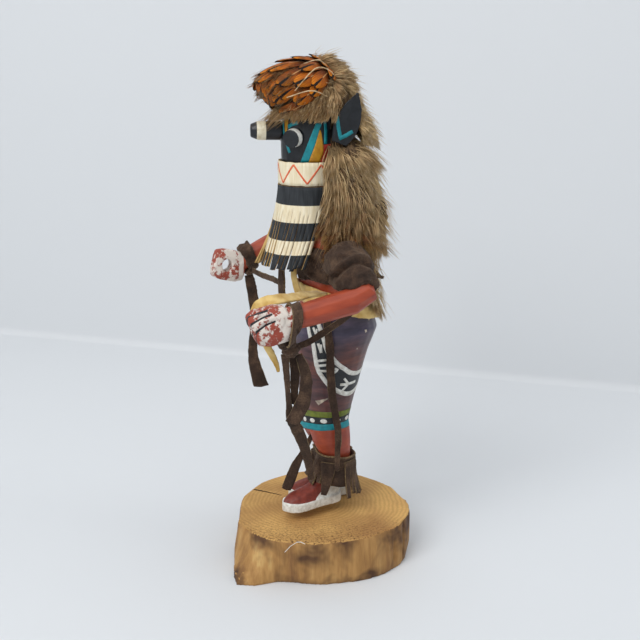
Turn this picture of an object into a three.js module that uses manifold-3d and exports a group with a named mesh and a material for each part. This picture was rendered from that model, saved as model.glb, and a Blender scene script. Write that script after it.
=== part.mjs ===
// A carved and painted wooden dancer doll, dressed in fur, feathers, rawhide, suede and chamois,
// standing on a slice of log. Millimetres, +Z up. The figure faces -Y and its left side is +X.
// The origin is the middle of the log slice's flat underside.
import * as THREE from "three";
import { mergeVertices } from "three/addons/utils/BufferGeometryUtils.js";
import Module from "manifold-3d";

const wasm = await Module();
wasm.setup();

// ---- driving dimensions ----

const GAP = 0.35; // clearance left between neighbouring pieces
const BASE_HEIGHT = 27;
const FOOT_LENGTH = 41;
const SOLE_HEIGHT = 5.5;
const LEFT_SOLE_Z = 33; // the left foot is lifted clear of the log
const RIGHT_SOLE_Z = BASE_HEIGHT + GAP;
const ANKLE_HEIGHT = 22; // sole underside to the cut where the leg meets the foot
const HEM_Z = 81;
const HEM_TILT = 0.16; // the hem rises towards the lifted left leg
const NECK_TOP_Z = 237;
const MASK_CENTRE_Y = -10;
const MASK_RADIUS = 16;
const MASK_TURN = 12; // degrees the head is turned to its right
const SUEDE = 1.3;
const RAWHIDE = 1.1;

// ---- helpers: every solid starts as a three.js geometry whose points are moved into place ----

const vec = (x, y, z) => new THREE.Vector3(x, y, z);
const rad = THREE.MathUtils.degToRad;
const mix = THREE.MathUtils.lerp;
const polar = (angle, radius, z) => vec(radius * Math.cos(angle), radius * Math.sin(angle), z);

// Rows of [key, value, value...] become a function that gives the values at any key, smoothly.
function table(rows) {
  const size = rows[0].length - 1;
  const keys = rows.map((row) => row[0]);
  const values = rows.flatMap((row) => row.slice(1));
  const curve = new THREE.CubicInterpolant(keys, values, size, new Array(size));
  return (key) => Array.from(curve.evaluate(THREE.MathUtils.clamp(key, keys[0], keys.at(-1))));
}

// A geometry with its points moved by place() becomes a manifold solid with its faces outward.
function solidFrom(geometry, place) {
  geometry.deleteAttribute("normal");
  geometry.deleteAttribute("uv");
  const merged = mergeVertices(geometry, 1e-5);
  const points = merged.getAttribute("position");
  for (let i = 0; i < points.count; i++) {
    const p = place(new THREE.Vector3().fromBufferAttribute(points, i));
    points.setXYZ(i, p.x, p.y, p.z);
  }
  const make = (triVerts) =>
    new wasm.Manifold(new wasm.Mesh({ numProp: 3, vertProperties: points.array, triVerts }));
  const triangles = new Uint32Array(merged.index.array);
  const made = make(triangles);
  return made.volume() < 0 ? make(triangles.reverse()) : made;
}

// A capped tube: place(angle, along, out) with along 0..1 and out 0 at a cap's middle, 1 on the wall.
function tube(sides, steps, place) {
  const geometry = new THREE.CylinderGeometry(1, 1, 1, sides, steps);
  return solidFrom(geometry, (p) =>
    place(Math.atan2(p.z, p.x), p.y + 0.5, Math.min(1, Math.hypot(p.x, p.z))),
  );
}

// A thick sheet: place(across, down, through) with across and down 0..1 and through 0 or 1.
function sheet(columns, rows, place) {
  const geometry = new THREE.BoxGeometry(1, 1, 1, columns, rows, 1);
  return solidFrom(geometry, (p) => place(p.x + 0.5, p.y + 0.5, p.z + 0.5));
}

// A rounded lump: place(direction) is given a unit vector.
function lump(sides, rows, place) {
  return solidFrom(new THREE.SphereGeometry(1, sides, rows), (p) => place(p.normalize()));
}

// An upright stack of ellipses, from rows of [z, x, y, half width, half depth].
function stack(rows, sides, steps, grow = 0, lift = () => 0) {
  const section = table(rows);
  const low = rows[0][0] - grow;
  const high = rows.at(-1)[0] + grow;
  return tube(sides, steps, (angle, along, out) => {
    const z = mix(low, high, along);
    const [x, y, halfWidth, halfDepth] = section(z);
    const px = x + out * (halfWidth + grow) * Math.cos(angle);
    return vec(px, y + out * (halfDepth + grow) * Math.sin(angle), z + lift(px, z));
  });
}

// A limb along a route, from rows of [along, half width, half height]; the width lies along side.
function limb(route, rows, side, sides, steps, grow = 0) {
  const path = new THREE.CatmullRomCurve3(route);
  const section = table(rows);
  return tube(sides, steps, (angle, along, out) => {
    const centre = path.getPointAt(along);
    const forward = path.getTangentAt(along);
    const up = side.clone().cross(forward).normalize();
    const across = forward.clone().cross(up).normalize();
    const [halfWidth, halfHeight] = section(along);
    return centre
      .addScaledVector(forward, grow * (along * 2 - 1))
      .addScaledVector(across, out * (halfWidth + grow) * Math.cos(angle))
      .addScaledVector(up, out * (halfHeight + grow) * Math.sin(angle));
  });
}

// A flat thong along a route; its broad side faces from the first facing vector to the second.
function thong(route, widths, facing, thickness = SUEDE, steps = 3 * (route.length - 1)) {
  const path = new THREE.CatmullRomCurve3(route);
  const width = table(widths.map((value, i) => [i / (widths.length - 1), value]));
  return sheet(1, steps, (across, down, through) => {
    const tangent = path.getTangentAt(down);
    const normal = facing[0].clone().lerp(facing[1], down);
    const side = tangent.clone().cross(normal).normalize();
    normal.crossVectors(side, tangent).normalize();
    return path
      .getPointAt(down)
      .addScaledVector(side, (across - 0.5) * width(down)[0])
      .addScaledVector(normal, (through - 0.5) * thickness);
  });
}

// A solid with others taken out of it.
const cutAway = (solid, ...rooms) => rooms.reduce((left, room) => left.subtract(room), solid);

const joined = (...solids) => solids.reduce((all, one) => all.add(one));
// The biggest of the bodies that a cut leaves, so that no loose crumb stays in a piece.
const largest = (solid) =>
  solid.decompose().reduce((best, piece) => (piece.volume() > best.volume() ? piece : best));

const paints = {
  bareWood: { color: 0xc79a5b, roughness: 0.85 },
  paintedSkin: { color: 0xa8492f, roughness: 0.5 },
  kiltStain: { color: 0x52352f, roughness: 0.45 },
  blackPaint: { color: 0x161a20, roughness: 0.5 },
  whitePaint: { color: 0xd9d8d2, roughness: 0.7 },
  redPaint: { color: 0x7c3328, roughness: 0.55 },
  rawhide: { color: 0xe6d9b8, roughness: 0.75 },
  suede: { color: 0x42332a, roughness: 0.95 },
  chamois: { color: 0xd2ae62, roughness: 0.95 },
  fur: { color: 0x94795a, roughness: 1 },
  feather: { color: 0xb8601c, roughness: 0.7 },
};

const doll = new THREE.Group();

// A manifold solid joins the doll as a named mesh in its paint.
function add(name, solid, paint) {
  const { vertProperties, triVerts } = solid.getMesh();
  const geometry = new THREE.BufferGeometry();
  geometry.setAttribute("position", new THREE.BufferAttribute(vertProperties, 3));
  geometry.setIndex(new THREE.BufferAttribute(triVerts, 1));
  geometry.computeVertexNormals();
  const mesh = new THREE.Mesh(geometry, new THREE.MeshStandardMaterial(paints[paint]));
  mesh.name = name;
  doll.add(mesh);
}

// ---- log slice: an uneven sawn round with a root swelling, a drying crack and a split ----

const rimTop = table([
  [-180, 59.6], [-150, 57], [-130, 55.6], [-105, 54.4], [-85, 57.2], [-60, 55.1], [-30, 50.8],
  [0, 48.2], [30, 50.6], [60, 54.2], [95, 54], [125, 55.8], [155, 58.6], [180, 59.6],
]);
// How far an old root swelling stands out at the log's foot: [degrees, mm].
const rootSwelling = table([[-112, 0], [-86, 3], [-74, 12], [-67, 16.5], [-61, 14.5], [-56, 5], [-48, 0]]);
const ROOT_TOP = 24;

function logSlice() {
  const levels = [[0, 0.8], [6, 0], [14, 0.1], [BASE_HEIGHT, 1]]; // [z, inset]
  const block = tube(46, levels.length - 1, (angle, along, out) => {
    const [z, inset] = levels[Math.round(along * (levels.length - 1))];
    const degrees = THREE.MathUtils.radToDeg(angle);
    const swell = 1.6 * Math.sin(angle * 3 + 0.6) * (1 - z / BASE_HEIGHT);
    const flutes = 0.45 * Math.sin(angle * 11) + 0.3 * Math.sin(angle * 17 + z * 0.1);
    const root = rootSwelling(degrees)[0] * Math.max(0, 1 - z / ROOT_TOP) ** 1.2;
    return polar(angle, out * (rimTop(degrees)[0] + swell + flutes + root - inset), z);
  });
  const wedge = (angle, outer, inner, width, low, high, drift) =>
    sheet(1, 1, (across, down, through) => {
      const p = polar(rad(angle), mix(outer, inner, down), mix(low, high, through));
      const half = (across - 0.5) * mix(width, width * 0.25, down);
      return p.add(polar(rad(angle) + Math.PI / 2, half + drift * down, 0));
    });
  const crack = wedge(-141, 62, 30, 1.5, BASE_HEIGHT - 6, BASE_HEIGHT + 2, 4);
  const split = wedge(35, 58, 46, 4, 5, 20, 1);
  return block.subtract(crack).subtract(split);
}

// ---- body: trunk, long kilt and calves carved from one piece of cottonwood root ----

const trunk = [
  [HEM_Z - 1, -6, 0, 20.5, 14.2],
  [98, -5.5, 3.6, 21, 15.3],
  [112, -5, 3.3, 22.5, 19],
  [130, -4.5, 5, 24.5, 22.5],
  [150, -3, 9.3, 26, 24],
  [163, -2.5, 6, 23.5, 19.5],
  [176, -2, 3.2, 22.5, 17],
  [190, -1, 1, 25.5, 16.5],
  [200, -1, -2, 24, 14.5],
  [209, -1, -5.5, 15, 12],
  [222, 0, -8.5, 11.5, 11.5],
  [NECK_TOP_Z, 0, -10, 11.5, 11.5],
];
const hemLift = (x, z) => HEM_TILT * (x + 6) * THREE.MathUtils.clamp((120 - z) / 40, 0, 1);

function trunkSolid(grow = 0) {
  return stack(trunk, 24, 12, grow, hemLift);
}

const legs = {
  left: { foot: vec(4.7, -10, LEFT_SOLE_Z), turn: 9, calfX: 4.5, calfY: 1.2, ankleY: 5 },
  right: { foot: vec(-19.3, 3.6, RIGHT_SOLE_Z), turn: -9, calfX: -17, calfY: 2, ankleY: 11 },
};

function calf({ foot, calfX, calfY, ankleY }, grow = 0) {
  const ankleZ = foot.z + ANKLE_HEIGHT + GAP;
  const rows = [
    [ankleZ, calfX - 0.6, ankleY + 1.5, 7.6, 8],
    [ankleZ + 10, calfX, ankleY, 9, 9.8],
    [HEM_Z + 2, calfX, calfY, 11, 13],
    [HEM_Z + 12, calfX, calfY + 1, 9, 10],
  ];
  return stack(rows, 14, 4, grow);
}

function body() {
  return trunkSolid().add(calf(legs.left)).add(calf(legs.right));
}

// ---- moccasins: a flat sole with a domed upper and a flat top where the ankle is glued ----

// Half width of the sole at a share of the length from heel to toe.
const soleWidth = table([
  [0, 0], [0.04, 3.6], [0.14, 6], [0.3, 6.3], [0.5, 6.6], [0.7, 8.2], [0.86, 7.4], [0.96, 4.2], [1, 0],
]);
const upperHeight = table([[0, 13], [0.16, 15.8], [0.32, 15.4], [0.45, 11], [0.62, 7.2], [0.82, 4.6], [1, 1.6]]);

// Maps a place on a foot (share of length, sideways, up) into the doll's frame.
function onFoot({ foot, turn }, share, sideways, up) {
  const p = vec(sideways, FOOT_LENGTH * (0.5 - share), up);
  return p.applyAxisAngle(vec(0, 0, 1), rad(turn)).add(foot);
}

const SHOE_STEPS = 11;
function moccasin(leg, grow = 0) {
  const outline = [];
  for (let i = 0; i <= SHOE_STEPS; i++) outline.push((1 - Math.cos((Math.PI * i) / SHOE_STEPS)) / 2);
  const layer = (columns, inset, low, high, crown) =>
    sheet(columns, SHOE_STEPS, (across, down, through) => {
      const share = outline[Math.round(down * SHOE_STEPS)];
      const half = Math.max(0.25, soleWidth(share)[0] - inset + grow);
      const reach = mix(0.5, share, 1 - (2 * (inset - grow)) / FOOT_LENGTH);
      const place = across * 2 - 1;
      const round = Math.sqrt(1 - 0.94 * place ** 2);
      const top = crown ? high(share) * round + grow : high(share) + grow;
      return onFoot(leg, reach, Math.sin((place * Math.PI) / 2) * half, through ? top : low - grow);
    });
  const sole = layer(1, 0, 0, () => SOLE_HEIGHT, false);
  const upper = layer(5, 0.9, 2, (share) => SOLE_HEIGHT + upperHeight(share)[0], true);
  return sole.add(upper);
}

// ---- ankle wraps: suede tied round the ankle, cut into a fringe behind and a flap in front ----

function ankleWrap(leg, sign) {
  const { foot, calfX, ankleY } = leg;
  const low = foot.z + 14;
  const high = foot.z + 33;
  const cuff = tube(12, 1, (angle, along, out) => {
    const z = mix(low, high, along) - 1.2 * Math.sin(angle);
    const reach = out * (mix(10.6, 11.4, along) - 0.6 * Math.sin(Math.PI * along));
    return vec(calfX + reach * Math.cos(angle), ankleY + 0.4 + 1.06 * reach * Math.sin(angle), z);
  });
  // Each strip hangs from under the cuff's upper edge: [degrees, drop, width, how far it kicks out].
  const fringe = [
    [30, 23, 5.5, 1.5], [60, 25, 4.4, 3.2], [90, 22, 5, 4.5], [120, 25, 4.2, 3], [-38, 19, 8, 3.4], [-84, 16, 6, 4.2],
  ];
  const strips = fringe.map(([degrees, drop, width, kick]) => {
    const angle = rad(sign > 0 ? degrees : 180 - degrees);
    const at = (reach, z) => vec(calfX, ankleY, z).add(polar(angle, reach, 0));
    const route = [at(10.6, high - 5), at(11.6, high - 5 - drop * 0.55), at(10.6 + kick, high - 5 - drop)];
    return thong(route, [width, width * 0.95, width * 0.75], [polar(angle, 1, 0), polar(angle, 1, 0)], SUEDE, 2);
  });
  return cutAway(joined(cuff, ...strips), calf(leg, GAP), moccasin(leg, GAP));
}

// ---- arms: upper arm, forearm and hand carved as one; the left fist is shut, the right makes a ring ----

const leftArm = [
  vec(25, -1, 195), vec(34, 0, 190.5), vec(44, 3.2, 182.5), vec(50.5, 4.4, 177), vec(52, 0, 174.2),
  vec(52, -12, 171.6), vec(52, -25, 169), vec(51.8, -43, 165.4),
];
const rightArm = [
  vec(-27, -1, 200), vec(-37, -0.5, 197.5), vec(-47, 1, 195), vec(-54, 2.5, 193), vec(-56, -3, 191),
  vec(-55.5, -12, 188), vec(-55, -22, 183.5), vec(-54.2, -38, 176.8),
];
const armSection = [
  [0, 7, 7], [0.25, 7.2, 7.4], [0.42, 7.6, 7.8], [0.52, 7, 7.6], [0.8, 6.4, 7.2], [1, 5.6, 6],
];

function armLimb(route, grow = 0) {
  return limb(route, armSection, vec(0.55, 0, 0.84), 10, 10, grow);
}

function leftFist(grow = 0) {
  const centre = vec(51.5, -49.5, 163.8);
  const fist = lump(12, 8, (d) => {
    const box = 1 / Math.hypot(d.x, d.y, d.z) / Math.max(0.72, (d.x ** 6 + d.y ** 6 + d.z ** 6) ** (1 / 6));
    const p = vec(d.x * (8 + grow) * box, d.y * (12.4 + grow) * box, d.z * (11.6 + grow) * box);
    p.multiplyScalar(0.82);
    p.y -= 0.18 * p.z;
    return p.applyAxisAngle(vec(1, 0, 0), rad(12)).add(centre);
  });
  if (grow) return fist;
  let carved = fist;
  for (let i = 0; i < 3; i++) {
    const groove = sheet(1, 3, (across, down, through) => {
      const swing = rad(mix(10, -112, down));
      const reach = mix(12.5, 22, through);
      const middle = centre.clone().add(vec(0, -3.5, 5.8 - i * 5.6));
      const wrap = vec(reach * 0.62 * Math.cos(swing), reach * 0.78 * Math.sin(swing), 0);
      wrap.z = (across - 0.5) * 0.9 - 3.4 * Math.sin(-swing * 0.8);
      return middle.add(wrap);
    });
    carved = carved.subtract(groove);
  }
  return carved;
}

function rightHand(grow = 0) {
  const centre = vec(-54, -44.5, 175.5);
  const hand = lump(12, 8, (d) => {
    const box = 0.8 / Math.max(0.72, (d.x ** 6 + d.y ** 6 + d.z ** 6) ** (1 / 6));
    const p = vec(d.x * (6.5 + grow) * box, d.y * (13.4 + grow) * box, d.z * (12 + grow) * box);
    return p.applyAxisAngle(vec(1, 0, 0), rad(-14)).add(centre);
  });
  if (grow) return hand;
  const grip = tube(10, 1, (angle, along, out) =>
    vec(mix(-70, -40, along), centre.y - 2 + out * 3.3 * Math.cos(angle), centre.z + 0.6 + out * 4.2 * Math.sin(angle)),
  );
  const slit = sheet(1, 1, (across, down, through) =>
    vec(mix(-70, -40, through), centre.y - mix(4, 16, down), centre.z + mix(1.5, 6.5, down) + (across - 0.5) * 0.9),
  );
  const groove = sheet(1, 1, (across, down, through) =>
    vec(mix(-70, -50.6, through), centre.y - mix(6, 18, down), centre.z - mix(4, 5.5, down) + (across - 0.5) * 0.8),
  );
  return hand.subtract(grip).subtract(slit).subtract(groove);
}

// ---- sleeves: suede bound round each upper arm and hiding the joint at the shoulder ----

function sleeve(route, grow = 0) {
  const upper = route.slice(0, 4);
  const rows = [[0, 11.6, 12.4], [0.3, 12.4, 13.2], [0.62, 11.4, 12], [0.9, 10.6, 11.2], [1, 9.8, 10.2]];
  const path = new THREE.CatmullRomCurve3(upper);
  const section = table(rows);
  return tube(11, 3, (angle, along, out) => {
    const centre = path.getPointAt(mix(0.16, 0.97, along));
    const forward = path.getTangentAt(along);
    const up = vec(0, 1, 0).cross(forward).normalize();
    const across = forward.clone().cross(up).normalize();
    const folds = 0.7 * Math.sin(3 * angle + 5 * along);
    const [halfWidth, halfHeight] = section(along);
    return centre
      .addScaledVector(forward, grow * (along * 2 - 1))
      .addScaledVector(across, out * (halfWidth + folds + grow) * Math.cos(angle))
      .addScaledVector(up, -out * (halfHeight + folds + grow) * Math.sin(angle));
  });
}

// ---- head: a case mask with a tube snout, drum eyes, leaf ears and a rawhide neck band ----

const maskProfile = [
  [0, 275.6], [7, 275], [12.4, 273], [15.2, 269], [MASK_RADIUS, 262], [15.8, 250],
  [15.2, NECK_TOP_Z + GAP], [0, NECK_TOP_Z + GAP],
];

function mask(grow = 0) {
  const outline = maskProfile.map(([r, z]) => {
    const rise = z > 270 ? grow : z < 240 ? -grow : 0;
    return new THREE.Vector2(r ? r + grow : 0, z + rise);
  });
  return solidFrom(new THREE.LatheGeometry(outline, 18), (p) => vec(p.x, MASK_CENTRE_Y - p.z, p.y));
}

// A direction from the mask's axis, in degrees left (+) or right (-) of where the face looks.
const lookAngle = (degrees) => rad(-90 - MASK_TURN + degrees);
const fromMask = (degrees, reach, z) => polar(lookAngle(degrees), reach, z).add(vec(0, MASK_CENTRE_Y, 0));

function peg(from, to, rows, sides, steps) {
  const side = vec(0, 0, 1).cross(to.clone().sub(from));
  return limb([from, from.clone().lerp(to, 0.5), to], rows, side, sides, steps).subtract(mask(GAP));
}

function snout() {
  const rows = [[0, 5.6, 5.6], [0.5, 5.3, 5.4], [0.86, 5.2, 5.3], [0.95, 4.7, 4.8], [1, 3.6, 3.7]];
  return peg(fromMask(0, 10, 261.6), fromMask(0, 33, 261.8), rows, 14, 5);
}

function eye(degrees) {
  const rows = [[0, 5.4, 5.4], [0.5, 5.4, 5.4], [1, 5, 5]];
  return peg(fromMask(degrees, 9, 259.6), fromMask(degrees, 21.5, 258.2), rows, 14, 2);
}

// A leaf ear set against the side of the mask, pointing up and back.
function ear(sign, grow = 0) {
  const length = 29.5;
  const halfWidth = table([[0, 4.6], [0.18, 6.8], [0.42, 7.6], [0.7, 5.6], [0.9, 2.6], [1, 0.4]]);
  const shape = sheet(2, 4, (across, down, through) => {
    const side = (across * 2 - 1) * (halfWidth(down)[0] + grow) * (across > 0.5 ? 1.12 : 0.9);
    const cup = 1.6 * (across * 2 - 1) ** 2;
    const thick = mix(3.6, 2, down) * (1 - 0.55 * (across * 2 - 1) ** 2) + 2 * grow;
    const local = vec((through - 0.5) * thick + cup, side, length * down);
    local.applyAxisAngle(vec(1, 0, 0), rad(-21)).applyAxisAngle(vec(0, 1, 0), rad(6));
    return vec(sign * (local.x + 16.6), local.y + 1, local.z + 255.6);
  });
  return grow ? shape : shape.subtract(mask(GAP));
}

function neckBand(grow = 0, low = 232, high = 245) {
  const wall = (radius, z0, z1) =>
    tube(18, 1, (angle, along, out) =>
      polar(angle, out * radius, mix(z0, z1, along)).add(vec(0, MASK_CENTRE_Y, 0)),
    );
  const outer = wall(MASK_RADIUS + GAP + RAWHIDE + 0.2 + grow, low - grow, high + grow);
  return grow ? outer : outer.subtract(wall(MASK_RADIUS + GAP + 0.2, low - 2, high + 2));
}

// ---- bib: rawhide hung from the neck band, its lower half cut into strips that curl forward ----

const BIB_TOP = 231.5;
const BIB_LENGTH = 47;
const BIB_STRIPS = 12;
const BIB_SLIT = 0.24; // share of the length left uncut at the top
const bibLean = table([[0, 13], [0.3, 10.5], [0.5, 8.5], [0.75, 10.5], [1, 15]]);

// A place on the bib: across runs 0..1 from the figure's left to its right, down 0..1 to the strip ends.
function onBib(across, down, through, flare = 0) {
  const angle = rad(mix(12, -178, across));
  const radius = MASK_RADIUS + 1.4 + RAWHIDE * through;
  const lean = down ** 1.5 * (bibLean(across)[0] + flare);
  const top = polar(angle, radius + lean * 0.22, BIB_TOP).add(vec(0, MASK_CENTRE_Y, 0));
  return top.add(vec(0, -lean, -BIB_LENGTH * down + 0.1 * lean));
}

function bib() {
  const top = sheet(12, 1, (across, down, through) => onBib(across, down * BIB_SLIT * 1.05, through));
  const strips = Array.from({ length: BIB_STRIPS }, (_, i) => {
    const flare = 1.6 * Math.sin(i * 2.4) + (i > 8 ? 4 : 0);
    const inset = mix(0.02, 0.12, (i % 3) / 2);
    return sheet(1, 2, (across, down, through) => {
      const share = (i + mix(inset * down + 0.01, 0.99 - inset * down, across)) / BIB_STRIPS;
      return onBib(share, mix(BIB_SLIT, 1 + 0.02 * Math.sin(i * 1.7), down), through, flare * down);
    });
  });
  return strips.reduce((all, strip) => all.add(strip), top);
}

// ---- feather crest: tiers of small rounded feathers swept forward over a padded crown ----

const CROWN = vec(1, -14, 283);
// The crown's surface in a direction from its middle: longer towards the face, flat below.
function onCrown(direction, grow = 0) {
  const reach = vec(16.5, 18 + 9 * Math.max(0, -direction.y), 15.2);
  const p = CROWN.clone().add(direction.clone().multiply(reach.addScalar(grow)));
  p.z = Math.max(p.z, 268.5 - Math.min(0, grow) + 4 * Math.max(0, -direction.y));
  return p;
}

// A feather lies from its quill near the back of the crown to its tip: each end is
// [degrees round the crown from the left side towards the face, degrees down from the top].
function feather(quill, tip, width, lift) {
  const pole = ([round, fall]) => {
    const turn = rad(-round);
    return vec(Math.sin(rad(fall)) * Math.cos(turn), Math.sin(rad(fall)) * Math.sin(turn), Math.cos(rad(fall)));
  };
  const from = pole(quill);
  const to = pole(tip);
  return sheet(2, 2, (across, down, through) => {
    const spine = from.clone().lerp(to, down).normalize();
    const side = to.clone().sub(from).cross(spine).normalize();
    const half = width * Math.sin(Math.PI * mix(0.2, 0.9, down)) ** 0.7;
    spine.addScaledVector(side, ((across - 0.5) * half) / 19).normalize();
    const vane = 0.9 * (1 - (across * 2 - 1) ** 2);
    return onCrown(spine, mix(-0.6, lift * down + 0.9 + vane, through));
  });
}

function featherCrest(grow = 0) {
  const tips = [
    [16, 104], [46, 108], [76, 108], [106, 104], [136, 100],
    [28, 82], [60, 88], [92, 88], [124, 80],
    [40, 60], [76, 66], [112, 60],
  ];
  const tiers = tips.map(([round, fall], i) => {
    const quill = [mix(round, 60, 0.3), Math.max(4, fall - 50)];
    return feather(quill, [round, fall], 9, 1.2 + 0.4 * (i % 3));
  });
  if (grow) return lump(16, 8, (direction) => onCrown(direction, 3.6 + grow));
  const padding = lump(12, 6, (direction) => onCrown(direction));
  return tiers.reduce((all, one) => all.add(one), padding).subtract(mask(GAP));
}

// ---- fur: a cap behind the crest, a ruff round the neck and a mantle down the back ----

// Outer surface of the fur: [z, y of its middle, half width, half depth].
const furSurface = table([
  [148, 9.5, 25, 26.5], [160, 9.5, 26, 27], [172, 8, 27.5, 26.5], [184, 6, 29, 26.5], [208, 5, 30, 30.6], [222, 3, 29.5, 32],
  [238, 1, 27, 31], [249, -2, 25, 29], [266, -5, 21, 26], [280, -7, 19, 21.5], [290, -7.5, 16, 17.5], [297, -8, 11, 12.5], [301, -8, 5, 7],
]);

// A thick wrap of fur between two angles (0 the left side, 90 the back, 180 the right side). Its upper
// edge is tucked in under the pelt above, and its lower edge is cut into locks that stand out a little.
function pelt({ from, to, high, low, depth, tuck, locks, columns, lining }, grow = 0) {
  return sheet(columns, 4, (across, down, through) => {
    const end = across < 0.001 ? -1 : across > 0.999 ? 1 : 0;
    const degrees = mix(from, to, across) + 3 * grow * end;
    const angle = rad(degrees);
    const lock = Math.sin(across * locks * Math.PI * 2);
    const z = mix(high, low(degrees) - 4 * lock - grow, down ** 1.15);
    const [middle, halfWidth, halfDepth] = furSurface(z);
    const at = (x, y, wide, deep) => vec(x + wide * Math.cos(angle), y + deep * Math.sin(angle), z);
    if (lining && !through && down < 0.99) {
      const [x, y, wide, deep] = table(trunk)(z);
      return at(x, y, wide + lining, deep + lining);
    }
    const tip = down > 0.99;
    const swell = down === 0 ? -tuck : 1.1 * lock * Math.sin(Math.PI * Math.min(1, down * 1.3)) + 2.4 * down ** 4;
    const thick = Math.min(halfWidth - 2.5, depth) * (tip ? 0.4 : 1) + grow;
    const reach = through ? swell + 4 * grow : Math.min(swell, 0) - thick + (tip ? 2.4 : 0);
    return at(0, middle, halfWidth + reach, halfDepth + reach);
  });
}

const sideToBack = (angle, side, back) => mix(side, back, Math.max(0, Math.sin(rad(angle))) ** 1.5);
const pelts = {
  cap: {
    from: 6, to: 174, high: 300, low: (a) => sideToBack(a, 264, 260), depth: 9, tuck: 0, locks: 4, columns: 12,
  },
  ruff: {
    from: -16, to: 196, high: 262, low: (a) => sideToBack(a, 214, 210), depth: 9, tuck: 7, locks: 6, columns: 18,
  },
  mantle: {
    from: -12, to: 194, high: 216, low: (a) => sideToBack(a, 193, 153), depth: 6, tuck: 8, locks: 6, columns: 18,
    lining: 4,
  },
};

// ---- clothes of hide: vest and sash wrapped on the trunk, with the thongs that hang from them ----

// A band round the trunk, dropping by tilt towards the back.
function girdle(low, high, thickness, tilt = 0) {
  const section = table(trunk);
  const band = tube(18, 1, (angle, along, out) => {
    const z = mix(low, high, along) - tilt * Math.sin(angle);
    const [x, y, halfWidth, halfDepth] = section(z);
    const reach = GAP + 0.2 + thickness;
    return vec(x + out * (halfWidth + reach) * Math.cos(angle), y + out * (halfDepth + reach) * Math.sin(angle), z);
  });
  return band.subtract(trunkSolid(GAP));
}

const outward = vec(0.94, -0.34, 0);
const ahead = vec(0.35, -0.93, 0);

// Thongs: each has its route, its widths from start to end, and which way its broad side faces.
const thongs = {
  belt_thong: {
    route: [
      vec(25, 7, 159.5), vec(29, -0.9, 156), vec(33, -9.1, 153.4), vec(37.5, -16.7, 151.5), vec(42, -24.8, 149.5),
      vec(45.4, -32.6, 148.6),
    ],
    widths: [3.4, 3.2, 3], facing: [vec(0.9, -0.3, 0.2), vec(0.8, -0.5, 0.3)],
  },
  wrist_tail_broad: {
    route: [
      vec(47, -32.7, 144.5), vec(46.3, -28.5, 133), vec(45.5, -28.1, 123.6), vec(44.5, -30, 114.1), vec(43.5, -35.8, 103.2),
    ],
    widths: [3.8, 6.2, 6.8, 8.2, 7.6], facing: [outward, outward],
  },
  wrist_tail_inner: {
    route: [vec(44, -34.6, 144.5), vec(42.6, -33.3, 134.7), vec(41.5, -33.3, 123.9), vec(40.5, -33.3, 113.5)],
    widths: [5.4, 5, 3.6], facing: [outward, outward],
  },
  wrist_tail_long: {
    route: [
      vec(48.5, -41, 145.8), vec(46, -39.2, 132), vec(42.1, -37.1, 117.4), vec(38.6, -34.5, 104.8), vec(35, -28.8, 94),
      vec(30, -22.7, 79.2), vec(24.5, -18.3, 65.7), vec(21, -16.5, 57.4),
    ],
    widths: [4.4, 3.4, 2.8, 5.4, 6.8, 5.6, 4.6, 3.4], facing: [outward, outward],
  },
  hem_thong: {
    route: [vec(-4, -6.9, 75), vec(-3, -12.6, 66), vec(-2, -18.2, 57.5), vec(-1, -22.5, 48.5), vec(0.4, -25.6, 43)],
    widths: [3, 4, 6.5, 5.5], facing: [outward, outward],
  },
  hip_thong: {
    route: [
      vec(20.6, -6.6, 156), vec(21.6, -6, 148.2), vec(22, -4.9, 136), vec(21, -4.1, 122), vec(19.3, -2.2, 106.8),
      vec(19.4, 0, 93.8), vec(19.4, 1.4, 84), vec(19.2, 1.2, 72.1), vec(19, 1, 59.3),
    ],
    widths: [4.4, 4.6, 4.6, 4, 2.6], facing: [outward, outward],
  },
  wrist_tail_right: {
    route: [
      vec(-53.5, -31.5, 168), vec(-53, -29.8, 158.4), vec(-54, -27.8, 141.5), vec(-54, -29.4, 125),
      vec(-53, -29.3, 111.8), vec(-51.5, -25, 93.5),
    ],
    widths: [5.5, 6.5, 4.8, 6.5, 9.5], facing: [outward, outward],
  },
  cross_thong: {
    route: [vec(-46.5, -31, 172.6), vec(-38, -27.8, 171.1), vec(-22, -25.2, 171.6), vec(-6, -23.4, 171.2)],
    widths: [3.2, 3.2, 3.4], facing: [ahead, ahead],
  },
  chest_thong: {
    route: [vec(-2, -20.5, 199), vec(-2, -26, 190.2), vec(-2, -26.3, 180), vec(-2, -26.2, 168.5)],
    widths: [5, 5, 5.4], facing: [ahead, ahead],
  },
  chamois_strip: {
    route: [
      vec(23, -15.5, 171.6), vec(30, -22.5, 174.6), vec(38, -35, 176.9), vec(44.4, -47, 179), vec(42.4, -55.6, 175),
      vec(40.6, -56.5, 165), vec(39.6, -49, 150.5), vec(38.6, -43.4, 139), vec(37.8, -41.4, 133),
    ],
    widths: [6.5, 6.5, 6, 5, 4, 1.6], facing: [vec(0.5, -0.45, 0.7), vec(0.9, -0.3, 0.1)],
  },
  chamois_tie: {
    route: [vec(8, -19, 167.5), vec(9, -21.4, 175), vec(9, -22.6, 183), vec(6, -19.8, 191)],
    widths: [3.6, 3.4, 3], facing: [outward, outward],
  },
};

function buildThong(name, grow = 0) {
  const { route, widths, facing } = thongs[name];
  const steps = 2 * (route.length - 1);
  return thong(route, widths.map((width) => width + 2 * grow), facing, SUEDE + 2 * grow, steps);
}

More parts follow.
